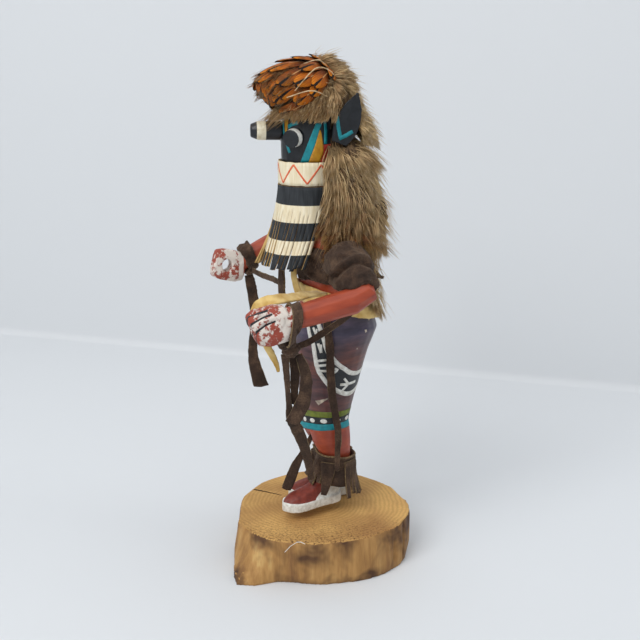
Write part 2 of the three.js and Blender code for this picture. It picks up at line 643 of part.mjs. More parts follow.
// A suede loop round the left wrist, closed below it by a knot.
function wristTieLeft() {
  const knot = vec(49, -40.1, 152.4);
  const loop = [
    knot, vec(57, -38.4, 157), vec(60.4, -36, 166), vec(56.6, -36.6, 174.4), vec(51, -38, 176.4),
    vec(45.4, -38.6, 173.4), vec(42.6, -39, 165), vec(45, -40.4, 156), knot,
  ];
  const path = new THREE.CatmullRomCurve3(loop);
  const middle = vec(51.5, -38, 164);
  const band = sheet(1, 11, (across, down, through) => {
    const p = path.getPointAt(down);
    const away = p.clone().sub(middle).setY(0).normalize();
    return p.addScaledVector(away, (through - 0.5) * SUEDE).add(vec(0, (across - 0.5) * 5.4, 0));
  });
  const bundle = lump(8, 5, (d) => {
    const rough = 1 + 0.14 * Math.sin(7 * d.x + 4 * d.z);
    return vec(d.x * 4.6 * rough, d.y * 5.4 * rough, d.z * 5.2 * rough).add(knot);
  });
  return band.add(bundle);
}

// A suede thong wound round the right wrist and knotted below.
function wristTieRight() {
  const winding = tube(12, 3, (angle, along, out) => {
    const reach = out * (8.3 + 0.5 * Math.sin(along * 9 + angle));
    const centre = vec(-54.6, mix(-28.6, -35, along), mix(181, 178, along));
    return centre.add(vec(reach * Math.cos(angle), -0.4 * reach * Math.sin(angle), reach * Math.sin(angle)));
  });
  const bundle = lump(8, 5, (d) => vec(-52.6 + 4 * d.x, -32 + 3.6 * d.y, 170.6 + 2.6 * d.z));
  return winding.add(bundle);
}

// ---- assembly: each garment is cut back from what it lies against ----

const trunkRoom = trunkSolid(GAP);
const leftArmRoom = armLimb(leftArm, GAP).add(leftFist(GAP));
const rightArmRoom = armLimb(rightArm, GAP).add(rightHand(GAP));
const sleeveRooms = joined(sleeve(leftArm, GAP), sleeve(rightArm, GAP));
const headRoom = joined(mask(GAP), neckBand(GAP));

add("base_slice", logSlice(), "bareWood");
add("body_carving", body(), "paintedSkin");
add("moccasin_left", moccasin(legs.left), "redPaint");
add("moccasin_right", moccasin(legs.right), "redPaint");
add("ankle_wrap_left", largest(ankleWrap(legs.left, 1)), "suede");
add("ankle_wrap_right", largest(ankleWrap(legs.right, -1)), "suede");

add("arm_left", largest(armLimb(leftArm).add(leftFist()).subtract(trunkRoom)), "paintedSkin");
add("arm_right", largest(armLimb(rightArm).add(rightHand()).subtract(trunkRoom)), "paintedSkin");
add("sleeve_left", largest(cutAway(sleeve(leftArm), trunkRoom, leftArmRoom)), "suede");
add("sleeve_right", largest(cutAway(sleeve(rightArm), trunkRoom, rightArmRoom)), "suede");

add("head_mask", mask(), "blackPaint");
add("snout", snout(), "blackPaint");
add("eye_left", eye(55), "whitePaint");
add("eye_right", eye(-55), "whitePaint");
add("ear_left", largest(ear(1)), "blackPaint");
add("ear_right", largest(ear(-1)), "blackPaint");
add("neck_band", neckBand(), "rawhide");
add("bib", largest(cutAway(bib(), trunkRoom)), "rawhide");
const crest = largest(featherCrest());
add("feather_crest", crest, "feather");

const earRooms = joined(ear(1, GAP), ear(-1, GAP));
const armRooms = joined(leftArmRoom, rightArmRoom, sleeveRooms);
add("fur_cap", largest(cutAway(pelt(pelts.cap), mask(GAP), earRooms, featherCrest(GAP))), "fur");
add("fur_ruff", largest(cutAway(pelt(pelts.ruff), headRoom, earRooms)), "fur");
add("fur_mantle", largest(cutAway(pelt(pelts.mantle), armRooms, pelt(pelts.ruff, GAP))), "fur");

add("vest", largest(cutAway(girdle(176, 196, SUEDE), armRooms)), "suede");
add("chamois_sash", largest(cutAway(girdle(156, 168, 1.6, 6), armRooms)), "chamois");
add("wrist_tie_left", largest(cutAway(wristTieLeft(), leftArmRoom)), "suede");
add("wrist_tie_right", largest(cutAway(wristTieRight(), rightArmRoom)), "suede");
for (const name of Object.keys(thongs)) {
  add(name, largest(buildThong(name)), name.startsWith("chamois") ? "chamois" : "suede");
}

export default doll;
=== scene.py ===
# A carved and painted dancer doll in a feathered, snouted mask, dressed in fur, rawhide and suede,
# standing on a slice of log. Metres; the figure faces -Y and its left side is +X.
import math
import random

import bmesh
import bpy
import numpy as np
from mathutils import Matrix, Vector, noise
from mathutils.bvhtree import BVHTree


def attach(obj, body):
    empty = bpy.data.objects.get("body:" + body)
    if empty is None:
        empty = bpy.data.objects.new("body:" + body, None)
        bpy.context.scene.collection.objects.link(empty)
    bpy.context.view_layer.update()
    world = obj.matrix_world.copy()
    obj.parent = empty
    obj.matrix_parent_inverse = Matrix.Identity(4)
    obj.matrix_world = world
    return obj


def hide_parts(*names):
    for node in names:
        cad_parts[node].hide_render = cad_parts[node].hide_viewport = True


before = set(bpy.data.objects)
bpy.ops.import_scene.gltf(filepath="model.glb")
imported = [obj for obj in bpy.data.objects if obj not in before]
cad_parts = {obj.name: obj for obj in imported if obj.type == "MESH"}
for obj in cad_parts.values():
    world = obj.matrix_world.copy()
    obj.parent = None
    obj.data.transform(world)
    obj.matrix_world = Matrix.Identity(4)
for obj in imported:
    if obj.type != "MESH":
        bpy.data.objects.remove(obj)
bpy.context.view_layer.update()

# ---- camera, floor and light ----
# The doll stands on a pale sheet, seen from its left and a little in front, under soft studio light.

MM = 0.001
CAMERA_SWING = math.radians(20)  # how far the camera stands in front of the doll's left side
CAMERA_TILT = math.radians(15)
CAMERA_REACH = 0.579
CAMERA_ASIDE = 0.0029
CAMERA_HEIGHT = 0.3044
toward = Vector((math.cos(CAMERA_SWING), -math.sin(CAMERA_SWING), 0))
rightward = Vector((math.sin(CAMERA_SWING), math.cos(CAMERA_SWING), 0))

camera = bpy.data.objects.new("camera", bpy.data.cameras.new("camera"))
camera.data.sensor_width = 36
camera.data.lens = 56.25
camera.location = toward * CAMERA_REACH - rightward * CAMERA_ASIDE + Vector((0, 0, CAMERA_HEIGHT))
camera.rotation_euler = (math.pi / 2 - CAMERA_TILT, 0, math.pi / 2 - CAMERA_SWING)
bpy.context.scene.collection.objects.link(camera)
bpy.context.scene.camera = camera


def linear(colour, alpha=1.0):
    """An sRGB hex colour as linear red, green, blue and alpha."""
    parts = [int(colour[i : i + 2], 16) / 255 for i in (1, 3, 5)]
    return [c / 12.92 if c <= 0.04045 else ((c + 0.055) / 1.055) ** 2.4 for c in parts] + [alpha]


def add_node(tree, kind, sockets=None, **settings):
    """Adds a shader node; a socket takes a value, or a link from another node's output."""
    made = tree.nodes.new(kind)
    for key, value in settings.items():
        setattr(made, key, value)
    for key, value in (sockets or {}).items():
        if isinstance(value, bpy.types.NodeSocket):
            tree.links.new(value, made.inputs[key])
        else:
            made.inputs[key].default_value = value
    return made


def new_material(name, **sockets):
    """A material with its shader's own sockets set; returns it, its tree and its shader."""
    material = bpy.data.materials.new(name)
    material.use_nodes = True
    tree = material.node_tree
    shader = tree.nodes["Principled BSDF"]
    for key, value in sockets.items():
        shader.inputs[key.replace("_", " ")].default_value = value
    return material, tree, shader


def object_space(tree, stretch=None):
    """Positions on the piece in metres, scaled along x, y and z where stretch says so."""
    coords = add_node(tree, "ShaderNodeTexCoord").outputs["Object"]
    if stretch is None:
        return coords
    return add_node(tree, "ShaderNodeMapping", {"Vector": coords, "Scale": stretch}).outputs[0]


def noisy(tree, coords, scale, detail, **sockets):
    """A noise pattern from 0 to 1; scale is in patches per metre."""
    sockets.update({"Vector": coords, "Scale": scale, "Detail": detail})
    return add_node(tree, "ShaderNodeTexNoise", sockets).outputs["Fac"]


def maths(tree, operation, *values):
    """One sum on numbers or other nodes' outputs."""
    return add_node(tree, "ShaderNodeMath", dict(enumerate(values)), operation=operation).outputs[0]


def ranged(tree, value, low, high, to_low=0, to_high=1):
    """A value from low to high, made to run from to_low to to_high."""
    sockets = {"Value": value, 1: low, 2: high, 3: to_low, 4: to_high}
    return add_node(tree, "ShaderNodeMapRange", sockets).outputs[0]


def mixed_colour(tree, factor, first, second, way="MIX"):
    """A colour blended from two others."""
    sockets = {"Factor": factor, "A": first, "B": second}
    return add_node(tree, "ShaderNodeMix", sockets, data_type="RGBA", blend_type=way).outputs["Result"]


def shades(tree, driver, stops):
    """A colour ramp through (position, colour) stops in order."""
    made = add_node(tree, "ShaderNodeValToRGB", {"Fac": driver})
    steps = made.color_ramp.elements
    for position, colour in stops[1:-1]:
        steps.new(position).color = linear(colour)
    for end, (position, colour) in [(0, stops[0]), (-1, stops[-1])]:
        steps[end].position = position
        steps[end].color = linear(colour)
    return made.outputs[0]


def coat(tree, shader, colour, height, strength, depth):
    """Gives a material its colour, and a pattern that stands depth mm off its surface."""
    tree.links.new(colour, shader.inputs["Base Color"])
    sockets = {"Height": height, "Strength": strength, "Distance": depth * MM}
    lift = add_node(tree, "ShaderNodeBump", sockets)
    tree.links.new(lift.outputs[0], shader.inputs["Normal"])


# Matt photographer's paper: very pale grey, no gloss.
paper, tree, shader = new_material("backdrop_paper", Roughness=0.95)
shader.inputs["Base Color"].default_value = linear("#D9DCDF")

# The sheet runs back under the doll, turns up in a tight curve and stands behind it.
FOLD_BACK = 0.374  # metres from the doll to the fold
FOLD_TURN = math.radians(-17)
FOLD_RADIUS = 0.008
SHEET_HALF = 2.5
profile = [(-SHEET_HALF, 0), (FOLD_BACK - FOLD_RADIUS, 0)]
for a in np.linspace(0.2, 1.5, 6):
    profile.append((FOLD_BACK - FOLD_RADIUS * (1 - math.sin(a)), FOLD_RADIUS * (1 - math.cos(a))))
profile.append((FOLD_BACK, SHEET_HALF))
away = Matrix.Rotation(FOLD_TURN, 3, "Z") @ -toward
across = Vector((0, 0, 1)).cross(away)
bm = bmesh.new()
rows = []
for d, z in profile:
    ends = [away * d + across * w + Vector((0, 0, z)) for w in (SHEET_HALF, -SHEET_HALF)]
    rows.append([bm.verts.new(end) for end in ends])
for low, high in zip(rows, rows[1:]):
    bm.faces.new((low[0], low[1], high[1], high[0])).smooth = True
floor_mesh = bpy.data.meshes.new("floor")
bm.to_mesh(floor_mesh)
bm.free()
floor_mesh.materials.append(paper)
floor = bpy.data.objects.new("floor", floor_mesh)
bpy.context.scene.collection.objects.link(floor)

world = bpy.data.worlds.new("studio")
world.use_nodes = True
world.node_tree.nodes["Background"].inputs["Color"].default_value = linear("#E6E9EC")
world.node_tree.nodes["Background"].inputs["Strength"].default_value = 0.44
bpy.context.scene.world = world
bpy.context.scene.view_settings.view_transform = "Standard"

for name, place, size, power in [
    ("window", (0.9, -1.3, 1.5), 1.2, 26),
    ("ceiling", (0.3, 0.1, 1.7), 1.6, 8),
    ("side_fill", (0.5, 1.4, 1.0), 1.2, 6),
]:
    lamp = bpy.data.lights.new(name, "AREA")
    lamp.size = size
    lamp.energy = power
    light = bpy.data.objects.new(name, lamp)
    light.location = place
    light.rotation_euler = (Vector((0, 0, 0.12)) - light.location).to_track_quat("-Z", "Y").to_euler()
    bpy.context.scene.collection.objects.link(light)

# ---- log slice ----
# An uneven round of softwood, chainsawn on both faces, with its bark gone: it has checked, split and
# stained while drying. It stands on its underside.


def settle(piece):
    """Turns a piece's modifiers into plain mesh."""
    graph = bpy.context.evaluated_depsgraph_get()
    mesh = bpy.data.meshes.new_from_object(piece.evaluated_get(graph))
    piece.modifiers.clear()
    piece.data = mesh
    return piece


def show(name, mesh, slot, *nodes):
    """Puts a mesh in the scene as a piece that stands for CAD nodes, and hides those nodes; slot is not
    used.
    """
    piece = bpy.data.objects.new(name, mesh)
    bpy.context.scene.collection.objects.link(piece)
    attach(piece, "root")
    if nodes:
        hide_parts(*nodes)
    return piece


def carved(name, node, slot, grain, rounds, materials, share=0.5):
    """A CAD piece's own shape in small even faces, grain mm across, softened as hand carving is."""
    bm = bmesh.new()
    bm.from_mesh(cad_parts[node].data)
    bmesh.ops.remove_doubles(bm, verts=bm.verts, dist=1e-6)
    mesh = bpy.data.meshes.new(name)
    bm.to_mesh(mesh)
    bm.free()
    for material in materials:
        mesh.materials.append(material)
    piece = show(name, mesh, slot, node)
    even = piece.modifiers.new("even", "REMESH")
    even.mode = "VOXEL"
    even.voxel_size = grain * MM
    soften = piece.modifiers.new("soften", "SMOOTH")
    soften.factor = share
    soften.iterations = rounds
    settle(piece)
    piece.data.polygons.foreach_set("use_smooth", [True] * len(piece.data.polygons))
    return piece


def worn(piece, depth):
    """Moves each point of a piece along its normal by depth(point in mm, normal), in mm."""
    bm = bmesh.new()
    bm.from_mesh(piece.data)
    bm.normal_update()
    moved = [v.co + v.normal * depth(v.co / MM, v.normal) * MM for v in bm.verts]
    for vert, place in zip(bm.verts, moved):
        vert.co = place
    bm.normal_update()
    bm.to_mesh(piece.data)
    bm.free()
    return piece


def between(value, low, high):
    """How far a value has gone from low to high, eased, as 0 to 1."""
    t = np.clip((value - low) / (high - low), 0, 1)
    return t * t * (3 - 2 * t)


def grained(x, y, z, seed=0.0):
    """Smooth noise from -1 to 1; each argument is a position over the size of its own pattern."""
    return noise.noise(Vector((x, y, z + seed * 7.3)))


def log_depth(p, normal):
    around = math.atan2(p.y, p.x) * 54
    if normal.z > 0.7:
        torn = between(p.x * 0.94 - p.y * 0.34, 24, 46)
        return 0.12 * grained(p.x / 9, p.y / 9, 3) + (0.06 + 0.4 * torn) * grained(p.x / 1.3, p.y / 0.9, 0)
    if normal.z < -0.7:
        return 0
    split_side = between(around, 14, 34) * between(around, 66, 48)
    ridge = grained(around / 3.2, p.z / 40, 1) * 0.5 + grained(around / 1.1, p.z / 22, 5) * 0.2
    root = between(-p.y, 48, 60) * between(p.z, 16, 4) * between(p.x, 4, 14)
    bark = 0.9 * grained(p.x / 3, p.y / 3, p.z / 3, 4) + 0.5 * grained(p.x / 1.3, p.y / 1.3, p.z / 1.3, 6)
    cleft = -1.6 * math.exp(-(((around - 41 - 0.22 * p.z) / 1.1) ** 2)) * between(p.z, 2, 8)
    lumps = 0.45 * grained(around / 14, p.z / 14, 9)
    return ridge * (0.25 + 0.75 * split_side) + lumps + root * bark + cleft


# Sawn end grain: pale golden sapwood with faint rings about 2.6 mm apart and fuzzy torn fibres.
sawn_wood, tree, shader = new_material("sawn_softwood", Roughness=0.85)
coords = object_space(tree)
RING_SCALE = 2 * math.pi / 20 / (2.6 * MM)
offset = add_node(tree, "ShaderNodeMapping", {"Vector": coords, "Location": (0.012, 0.006, 0)}).outputs[0]
ring_sockets = {"Vector": offset, "Scale": RING_SCALE, "Distortion": 9, "Detail": 4, "Detail Scale": 0.35}
rings = add_node(tree, "ShaderNodeTexWave", ring_sockets, wave_type="RINGS", rings_direction="Z")
patches = noisy(tree, coords, 32, 3)
fuzz = noisy(tree, coords, 700, 4, Roughness=0.7)
tone = shades(tree, patches, [(0.32, "#A97C46"), (0.66, "#D9AC66")])
faint = maths(tree, "MULTIPLY", rings.outputs["Fac"], 0.34)
ringed = mixed_colour(tree, faint, tone, linear("#9C7038"))
# The fibres are torn most along one side, where the saw came out.
torn = add_node(tree, "ShaderNodeVectorMath", {0: coords, 1: (0.94, -0.34, 0)}, operation="DOT_PRODUCT")
tearing = ranged(tree, torn.outputs["Value"], 0.012, 0.046, 0.12, 0.9)
flecks = shades(tree, fuzz, [(0.36, "#5C3D1E"), (0.52, "#FFFFFF")])
sawn = mixed_colour(tree, tearing, ringed, flecks, "MULTIPLY")
coat(tree, shader, sawn, fuzz, 0.6, 0.6)

# Weathered side of the log: yellow and brown streaks along the grain, with purple-brown stains.
side_wood, tree, shader = new_material("weathered_log_side", Roughness=0.72)
coords = object_space(tree)
along = object_space(tree, (1, 1, 0.12))
streaks = noisy(tree, along, 120, 4, Roughness=0.6)
fine = noisy(tree, along, 900, 3)
stains = noisy(tree, coords, 46, 3, Distortion=0.4)
wood = shades(tree, streaks, [(0.3, "#845C34"), (0.45, "#A07540"), (0.6, "#B88C52"), (0.78, "#D2B070")])
stained = shades(tree, stains, [(0.38, "#54302A"), (0.56, "#FFFFFF")])
weathered = mixed_colour(tree, 0.85, wood, stained, "MULTIPLY")
coat(tree, shader, weathered, fine, 0.5, 0.4)

log = carved("log_slice", "base_slice", "bare_wood", 1.2, 2, [side_wood, sawn_wood])
worn(log, log_depth)
for face in log.data.polygons:
    face.material_index = 1 if abs(face.normal.z) > 0.75 else 0

# The drying crack runs in from the rim, and a white fibre has caught on the front edge.


def lay_sheet(bm, columns, rows, place, material=0):
    """Adds a sheet to a mesh: place(across, down) gives a point in mm, and both make its UV."""
    made = bmesh.ops.create_grid(bm, x_segments=columns, y_segments=rows, size=0.5)["verts"]
    uv = bm.loops.layers.uv.verify()
    at = {v: (v.co.x + 0.5, v.co.y + 0.5) for v in made}
    for face in {f for v in made for f in v.link_faces}:
        face.material_index = material
        face.smooth = True
        for loop in face.loops:
            loop[uv].uv = at[loop.vert]
    for v, (across, down) in at.items():
        v.co = Vector(place(across, down)) * MM
    return made


def finish_sheet(name, bm, slot, materials, thickness, nodes=(), rim=None, side=0.0):
    """Gives the sheets in a mesh their thickness in mm and shows them as one piece."""
    bm.normal_update()
    mesh = bpy.data.meshes.new(name)
    bm.to_mesh(mesh)
    bm.free()
    for material in materials:
        mesh.materials.append(material)
    piece = show(name, mesh, slot, *nodes)
    if thickness:
        wall = piece.modifiers.new("wall", "SOLIDIFY")
        wall.thickness = thickness * MM
        wall.offset = side
        wall.use_even_offset = False
        if rim is not None:
            wall.material_offset_rim = rim
        settle(piece)
    return piece


def on_log(degrees, reach, z):
    a = math.radians(degrees)
    return Vector((reach * math.cos(a), reach * math.sin(a), z))


# Painted shade in a crack: a nearly black brown strip laid on the sawn top, where no crack is cut.
crack_shade, tree, shader = new_material("painted_crack_shade", Roughness=1.0)
shader.inputs["Base Color"].default_value = linear("#2A1B0F")

bm = bmesh.new()


def crack(across, down):
    wander = 0.5 * grained(down * 6, 0, 2)
    width = 0.9 * (1 - down) + 0.25
    aside = (across - 0.5) * width + wander
    return on_log(-139.5 - 2.5 * down, 53.2 - 20.4 * down, 27.18) + Vector((0.6, -0.75, 0)) * aside


lay_sheet(bm, 2, 24, crack)
finish_sheet("drying_crack", bm, "bare_wood", [crack_shade], 0.12)

# Cotton fibre: a loose white thread.
cotton, tree, shader = new_material("white_fibre", Roughness=0.9)
shader.inputs["Base Color"].default_value = linear("#E4DFD6")
bm = bmesh.new()
fibre = [
    on_log(-44, 57.4, 23.6), on_log(-41, 56, 27.3), on_log(-38.5, 51.5, 28.1), on_log(-36, 51.2, 28.4),
    on_log(-33, 52, 27.9),
]


def thread(across, down):
    turn = across * 2 * math.pi
    spot = down * (len(fibre) - 1)
    i = min(int(spot), len(fibre) - 2)
    p = fibre[i].lerp(fibre[i + 1], spot - i)
    return p + Vector((0, math.cos(turn), math.sin(turn))) * 0.22


lay_sheet(bm, 8, 32, thread)
bmesh.ops.remove_doubles(bm, verts=bm.verts, dist=1e-6)
bmesh.ops.holes_fill(bm, edges=bm.edges)
bmesh.ops.recalc_face_normals(bm, faces=bm.faces)
finish_sheet("caught_fibre", bm, "bare_wood", [cotton], 0)

# ---- body carving ----
# Trunk, long kilt and calves in one piece of cottonwood root, sanded, stained and painted with
# poster paint; the kilt's stain was rubbed and scorched round in bands.

HEM_PLANE = (Vector((-6 * MM, 0, 81 * MM)), Vector((-0.156, 0, 1)).normalized())
WAIST_Z = 157 * MM

# Terracotta poster paint: flat with a faint satin drag of the brush and a little grain showing.
skin_paint, tree, shader = new_material("terracotta_poster_paint", Roughness=0.46)
drag = object_space(tree, (1, 0.25, 1))
brush = noisy(tree, drag, 260, 4)
tone = shades(tree, brush, [(0.3, "#8A3520"), (0.72, "#AC4A2C")])
coat(tree, shader, tone, brush, 0.25, 0.3)

# Purple-brown wood stain, rubbed thin in level bands 1 to 3 mm apart, with a soft shine.
kilt_stain, tree, shader = new_material("rubbed_wood_stain", Roughness=0.34)
coords = object_space(tree)
level = object_space(tree, (0.18, 0.18, 1))
bands = noisy(tree, level, 330, 5, Roughness=0.6)
cloud = noisy(tree, coords, 45, 2)
tone = shades(tree, bands, [
    (0.25, "#7C7078"), (0.42, "#B4A4A8"), (0.56, "#D8C4C0"), (0.66, "#FFE0CC"), (0.72, "#FFFFFF"),
])
# The stain is redder toward the hem, with a worn orange stretch between; the blue over the hips is a painted
# sheen.
height = add_node(tree, "ShaderNodeSeparateXYZ", {"Vector": coords}).outputs["Z"]
shift = maths(tree, "MULTIPLY_ADD", cloud, 0.02, height)
up_kilt = ranged(tree, shift, 0.09, 0.17)
stain_hue_and_sheen = shades(tree, up_kilt, [
    (0, "#74483E"), (0.1, "#74483E"), (0.4, "#634246"), (0.6, "#7E4A3A"), (0.7, "#5C4450"),
    (0.82, "#53506E"), (1, "#4A3C4A"),
])
mixed = mixed_colour(tree, 1.0, tone, stain_hue_and_sheen, "MULTIPLY")
coat(tree, shader, mixed, bands, 0.3, 0.3)


def split_paint(piece, planes, choose):
    """Cuts a piece's faces along (point, normal) planes in metres and gives each one a material."""
    bm = bmesh.new()
    bm.from_mesh(piece.data)
    for place, facing in planes:
        every = bm.verts[:] + bm.edges[:] + bm.faces[:]
        bmesh.ops.bisect_plane(bm, geom=every, plane_co=place, plane_no=facing)
    for face in bm.faces:
        face.material_index = choose(face.calc_center_median())
        face.smooth = True
    bm.to_mesh(piece.data)
    bm.free()


def is_skin(p):
    below_hem = (p - HEM_PLANE[0]).dot(HEM_PLANE[1]) < 0
    return 1 if below_hem or p.z > WAIST_Z else 0


body = carved("body", "body_carving", "body_paint", 1.2, 4, [kilt_stain, skin_paint])
worn(body, lambda p, normal: 0.16 * grained(p.x / 7, p.y / 7, p.z / 12))
split_paint(body, [HEM_PLANE, (Vector((0, 0, WAIST_Z)), Vector((0, 0, 1)))], is_skin)


class Surface:
    """A finished piece that paint is laid on, reached from its upright axis at x, y (mm)."""

    def __init__(self, piece, x, y):
        bm = bmesh.new()
        bm.from_mesh(piece.data)
        self.tree = BVHTree.FromBMesh(bm)
        bm.free()
        self.x, self.y = x, y

    def at(self, degrees, z, proud=0.05):
        """The surface point in mm in a direction round the axis at height z."""
        out = Vector((math.cos(math.radians(degrees)), math.sin(math.radians(degrees)), 0))
        start = Vector((self.x, self.y, z)) + out * 60
        hit = self.tree.ray_cast(start * MM, -out)
        if hit[0] is None:
            return start - out * 50
        return (hit[0] + hit[1] * proud * MM) / MM


def paint_line(bm, surface, route, width, reach, material=0, steps=3, proud=0.1):
    """A painted line through route's (degrees, height) points; reach is the surface's rough radius."""
    flat = [Vector((math.radians(a) * reach, z)) for a, z in route]
    fine = []
    for i in range(len(flat) - 1):
        a, b = flat[max(i - 1, 0)], flat[i]
        c, d = flat[i + 1], flat[min(i + 2, len(flat) - 1)]
        for k in range(steps):
            t = k / steps
            bend, turn = 2 * a - 5 * b + 4 * c - d, 3 * b - a - 3 * c + d
            fine.append(0.5 * (2 * b + (c - a) * t + bend * t**2 + turn * t**3))
    fine.append(flat[-1])

    def place(across, down):
        i = min(int(round(down * (len(fine) - 1))), len(fine) - 1)
        ahead = fine[min(i + 1, len(fine) - 1)] - fine[max(i - 1, 0)]
        side = Vector((ahead.y, -ahead.x)).normalized()
        rough = 1 + 0.12 * grained(i * 0.7, across * 3, width)
        p = fine[i] + side * (across - 0.5) * width * rough
        return surface.at(math.degrees(p.x / reach), p.y, proud)

    lay_sheet(bm, 2, len(fine) - 1, place, material)


def paint_patch(bm, surface, left, right, material=0, columns=6, rows=6):
    """A painted patch between two edges given as (degrees, height) points from top to bottom."""

    def on_edge(edge, share):
        spot = share * (len(edge) - 1)
        i = min(int(spot), len(edge) - 2)
        return Vector(edge[i]).lerp(Vector(edge[i + 1]), spot - i)

    def place(across, down):
        p = on_edge(left, down).lerp(on_edge(right, down), across)
        return surface.at(p.x, p.y, 0.06)

    lay_sheet(bm, columns, rows, place, material)


def poster_paint(name, colour, shade, rough=0.55):
    """Poster paint: one colour laid by brush, a little uneven in tone, dry and nearly matt."""
    material, tree, shader = new_material(name, Roughness=rough)
    coords = object_space(tree)
    brush = noisy(tree, coords, 420, 4)
    tone = shades(tree, brush, [(0.3, shade), (0.6, colour)])
    coat(tree, shader, tone, brush, 0.2, 0.2)
    return material


black_paint = poster_paint("black_poster_paint", "#14181E", "#0A0D12", 0.42)
white_paint = poster_paint("white_poster_paint", "#E8E8E2", "#C6C2B8")
turquoise_paint = poster_paint("turquoise_poster_paint", "#0A8B96", "#087680", 0.5)
olive_paint = poster_paint("olive_poster_paint", "#6F7A1E", "#55601C")
scraped_wood = poster_paint("scraped_cottonwood", "#C9BBA8", "#8E7F74", 0.8)

kilt = Surface(body, -5, 4)


def hem_z(degrees, height):
    """Height of a point on the kilt measured up from its tilted hem."""
    x = -5 + 22 * math.cos(math.radians(degrees))
    return 81 + 0.156 * (x + 6) + height


bm = bmesh.new()
for low, high, material, proud in [(-0.2, 3.6, 2, 0.1), (3.4, 7.6, 0, 0.08), (7.5, 11.2, 3, 0.06)]:

    def hem_band(across, down):
        return kilt.at(360 * across, hem_z(360 * across, low + (high - low) * down), proud)

    lay_sheet(bm, 96, 3, hem_band, material)
for i in range(15):
    middle = -4 + 24 * i

    def oval(across, down):
        turn = across * 2 * math.pi
        aside, up = 6.4 * down * math.cos(turn), 1.3 * down * math.sin(turn)
        return kilt.at(middle + aside, hem_z(middle, 5.5) + up, 0.2)

    lay_sheet(bm, 12, 2, oval, 1)

# The woven band of the kilt: black between two white lines, hanging in a swag down the left side.
swag_outer = [
    (-57, 150.5), (-49, 142.3), (-43, 138.4), (-40, 131.5), (-36, 123.5), (-29.5, 119), (-21.5, 114.6),
    (-12, 111.3), (3.5, 107.8), (20, 106.4), (45, 108), (75, 112), (105, 112),
]
swag_inner = [
    (-38, 155), (-31, 147.2), (-26, 141.9), (-22, 136), (-16, 131.7), (-7, 127.2), (4, 123.5),
    (18, 119.8), (45, 118.5), (75, 121), (105, 121),
]


def mirrored(route):
    return [(180 - a, z) for a, z in reversed(route)]


for outer, inner in [(swag_outer, swag_inner), (mirrored(swag_outer), mirrored(swag_inner))]:
    paint_patch(bm, kilt, outer, inner, 0, 10, 40)
    paint_line(bm, kilt, outer, 2.9, 24, 1, proud=0.16)
    paint_line(bm, kilt, inner, 2.8, 24, 1, proud=0.16)
for route, width in [
    ([(-37, 128.5), (-23, 129.7)], 1.3), ([(-37, 125.4), (-22, 126.6)], 1.3),
    ([(-36, 122.3), (-21, 122.8)], 1.3), ([(-44, 148.5), (-38.5, 144.5)], 1.4),
    ([(-37.5, 148), (-38.5, 144.5)], 1.0),
    ([(-35, 139.5), (-30, 134)], 1.6), ([(-30.5, 139), (-30, 134)], 1.2),
    ([(-15, 124.4), (-7, 123.6), (-13, 121.6)], 1.4),
    ([(30, 113.4), (9, 113.2)], 1.5), ([(10, 113.2), (-2, 113.6)], 1.5), ([(13, 113), (4, 117.4)], 1.4),
    ([(13, 113.4), (2, 109.4)], 1.4),
]:
    paint_line(bm, kilt, route, width + 0.2, 24, 1, proud=0.18)
# Bare wood shows where the paint and stain have been knocked off.
for degrees, z, size in [(29, 146, 0.9), (20, 135.5, 0.5), (38, 152, 0.6), (-8, 96, 0.5)]:
    left = [(degrees - size * 2, z + size), (degrees - size, z - size)]
    right = [(degrees + size, z + size), (degrees + size * 2.4, z - size * 0.6)]
    paint_patch(bm, kilt, left, right, 4)
paint_patch(bm, kilt, [(-44, 102), (-42, 101), (-38, 99.4)], [(-20, 104.9), (-20, 104.7), (-20, 104.5)], 4)
kilt_paints = [black_paint, white_paint, turquoise_paint, olive_paint, scraped_wood]
finish_sheet("kilt_paint", bm, "body_paint", kilt_paints, 0.14)

# ---- moccasins ----
# Carved feet glued to the calves: red-brown uppers, with the sole edge and the heel painted white.


shoe_paint = poster_paint("red_brown_poster_paint", "#7E3020", "#641F14", 0.5)
for side, foot, turn in [("left", Vector((4.7, -10, 33)), 9), ("right", Vector((-19.3, 3.6, 27.35)), -9)]:
    shoe = carved("shoe_" + side, "moccasin_" + side, "shoe_paint", 0.65, 2, [shoe_paint, white_paint])
    heelward = Vector((-math.sin(math.radians(turn)), math.cos(math.radians(turn)), 0))
    edge = (foot + Vector((0, 0, 5.4))) * MM
    flat = (edge, Vector((0, 0.02, 1)).normalized())
    slope = (edge - heelward * 1 * MM, (Vector((0, 0, 1)) - heelward * 0.85).normalized())

    def is_white(p):
        return 1 if (p - flat[0]).dot(flat[1]) < 0 or (p - slope[0]).dot(slope[1]) < 0 else 0

    split_paint(shoe, [flat, slope], is_white)

# ---- suede ankle wraps ----
# Dark garment suede tied round each ankle: a crumpled cuff, a pointed flap over the instep and a
# fringe cut with scissors behind.

# Suede: split leather with a short matted nap that catches light in worn patches.
suede, tree, shader = new_material(
    "dark_garment_suede", Roughness=0.95, Sheen_Weight=0.25, Sheen_Roughness=0.6,
)
shader.inputs["Sheen Tint"].default_value = linear("#B59A80")
coords = object_space(tree)
nap = noisy(tree, coords, 1100, 5, Roughness=0.7)
rubbed = noisy(tree, coords, 130, 4)
tone = shades(tree, rubbed, [(0.3, "#2A1A11"), (0.5, "#412D20"), (0.68, "#5E4735")])
speckle = shades(tree, nap, [(0.35, "#8E8078"), (0.6, "#FFFFFF")])
mixed = mixed_colour(tree, 0.8, tone, speckle, "MULTIPLY")
coat(tree, shader, mixed, nap, 0.8, 0.5)

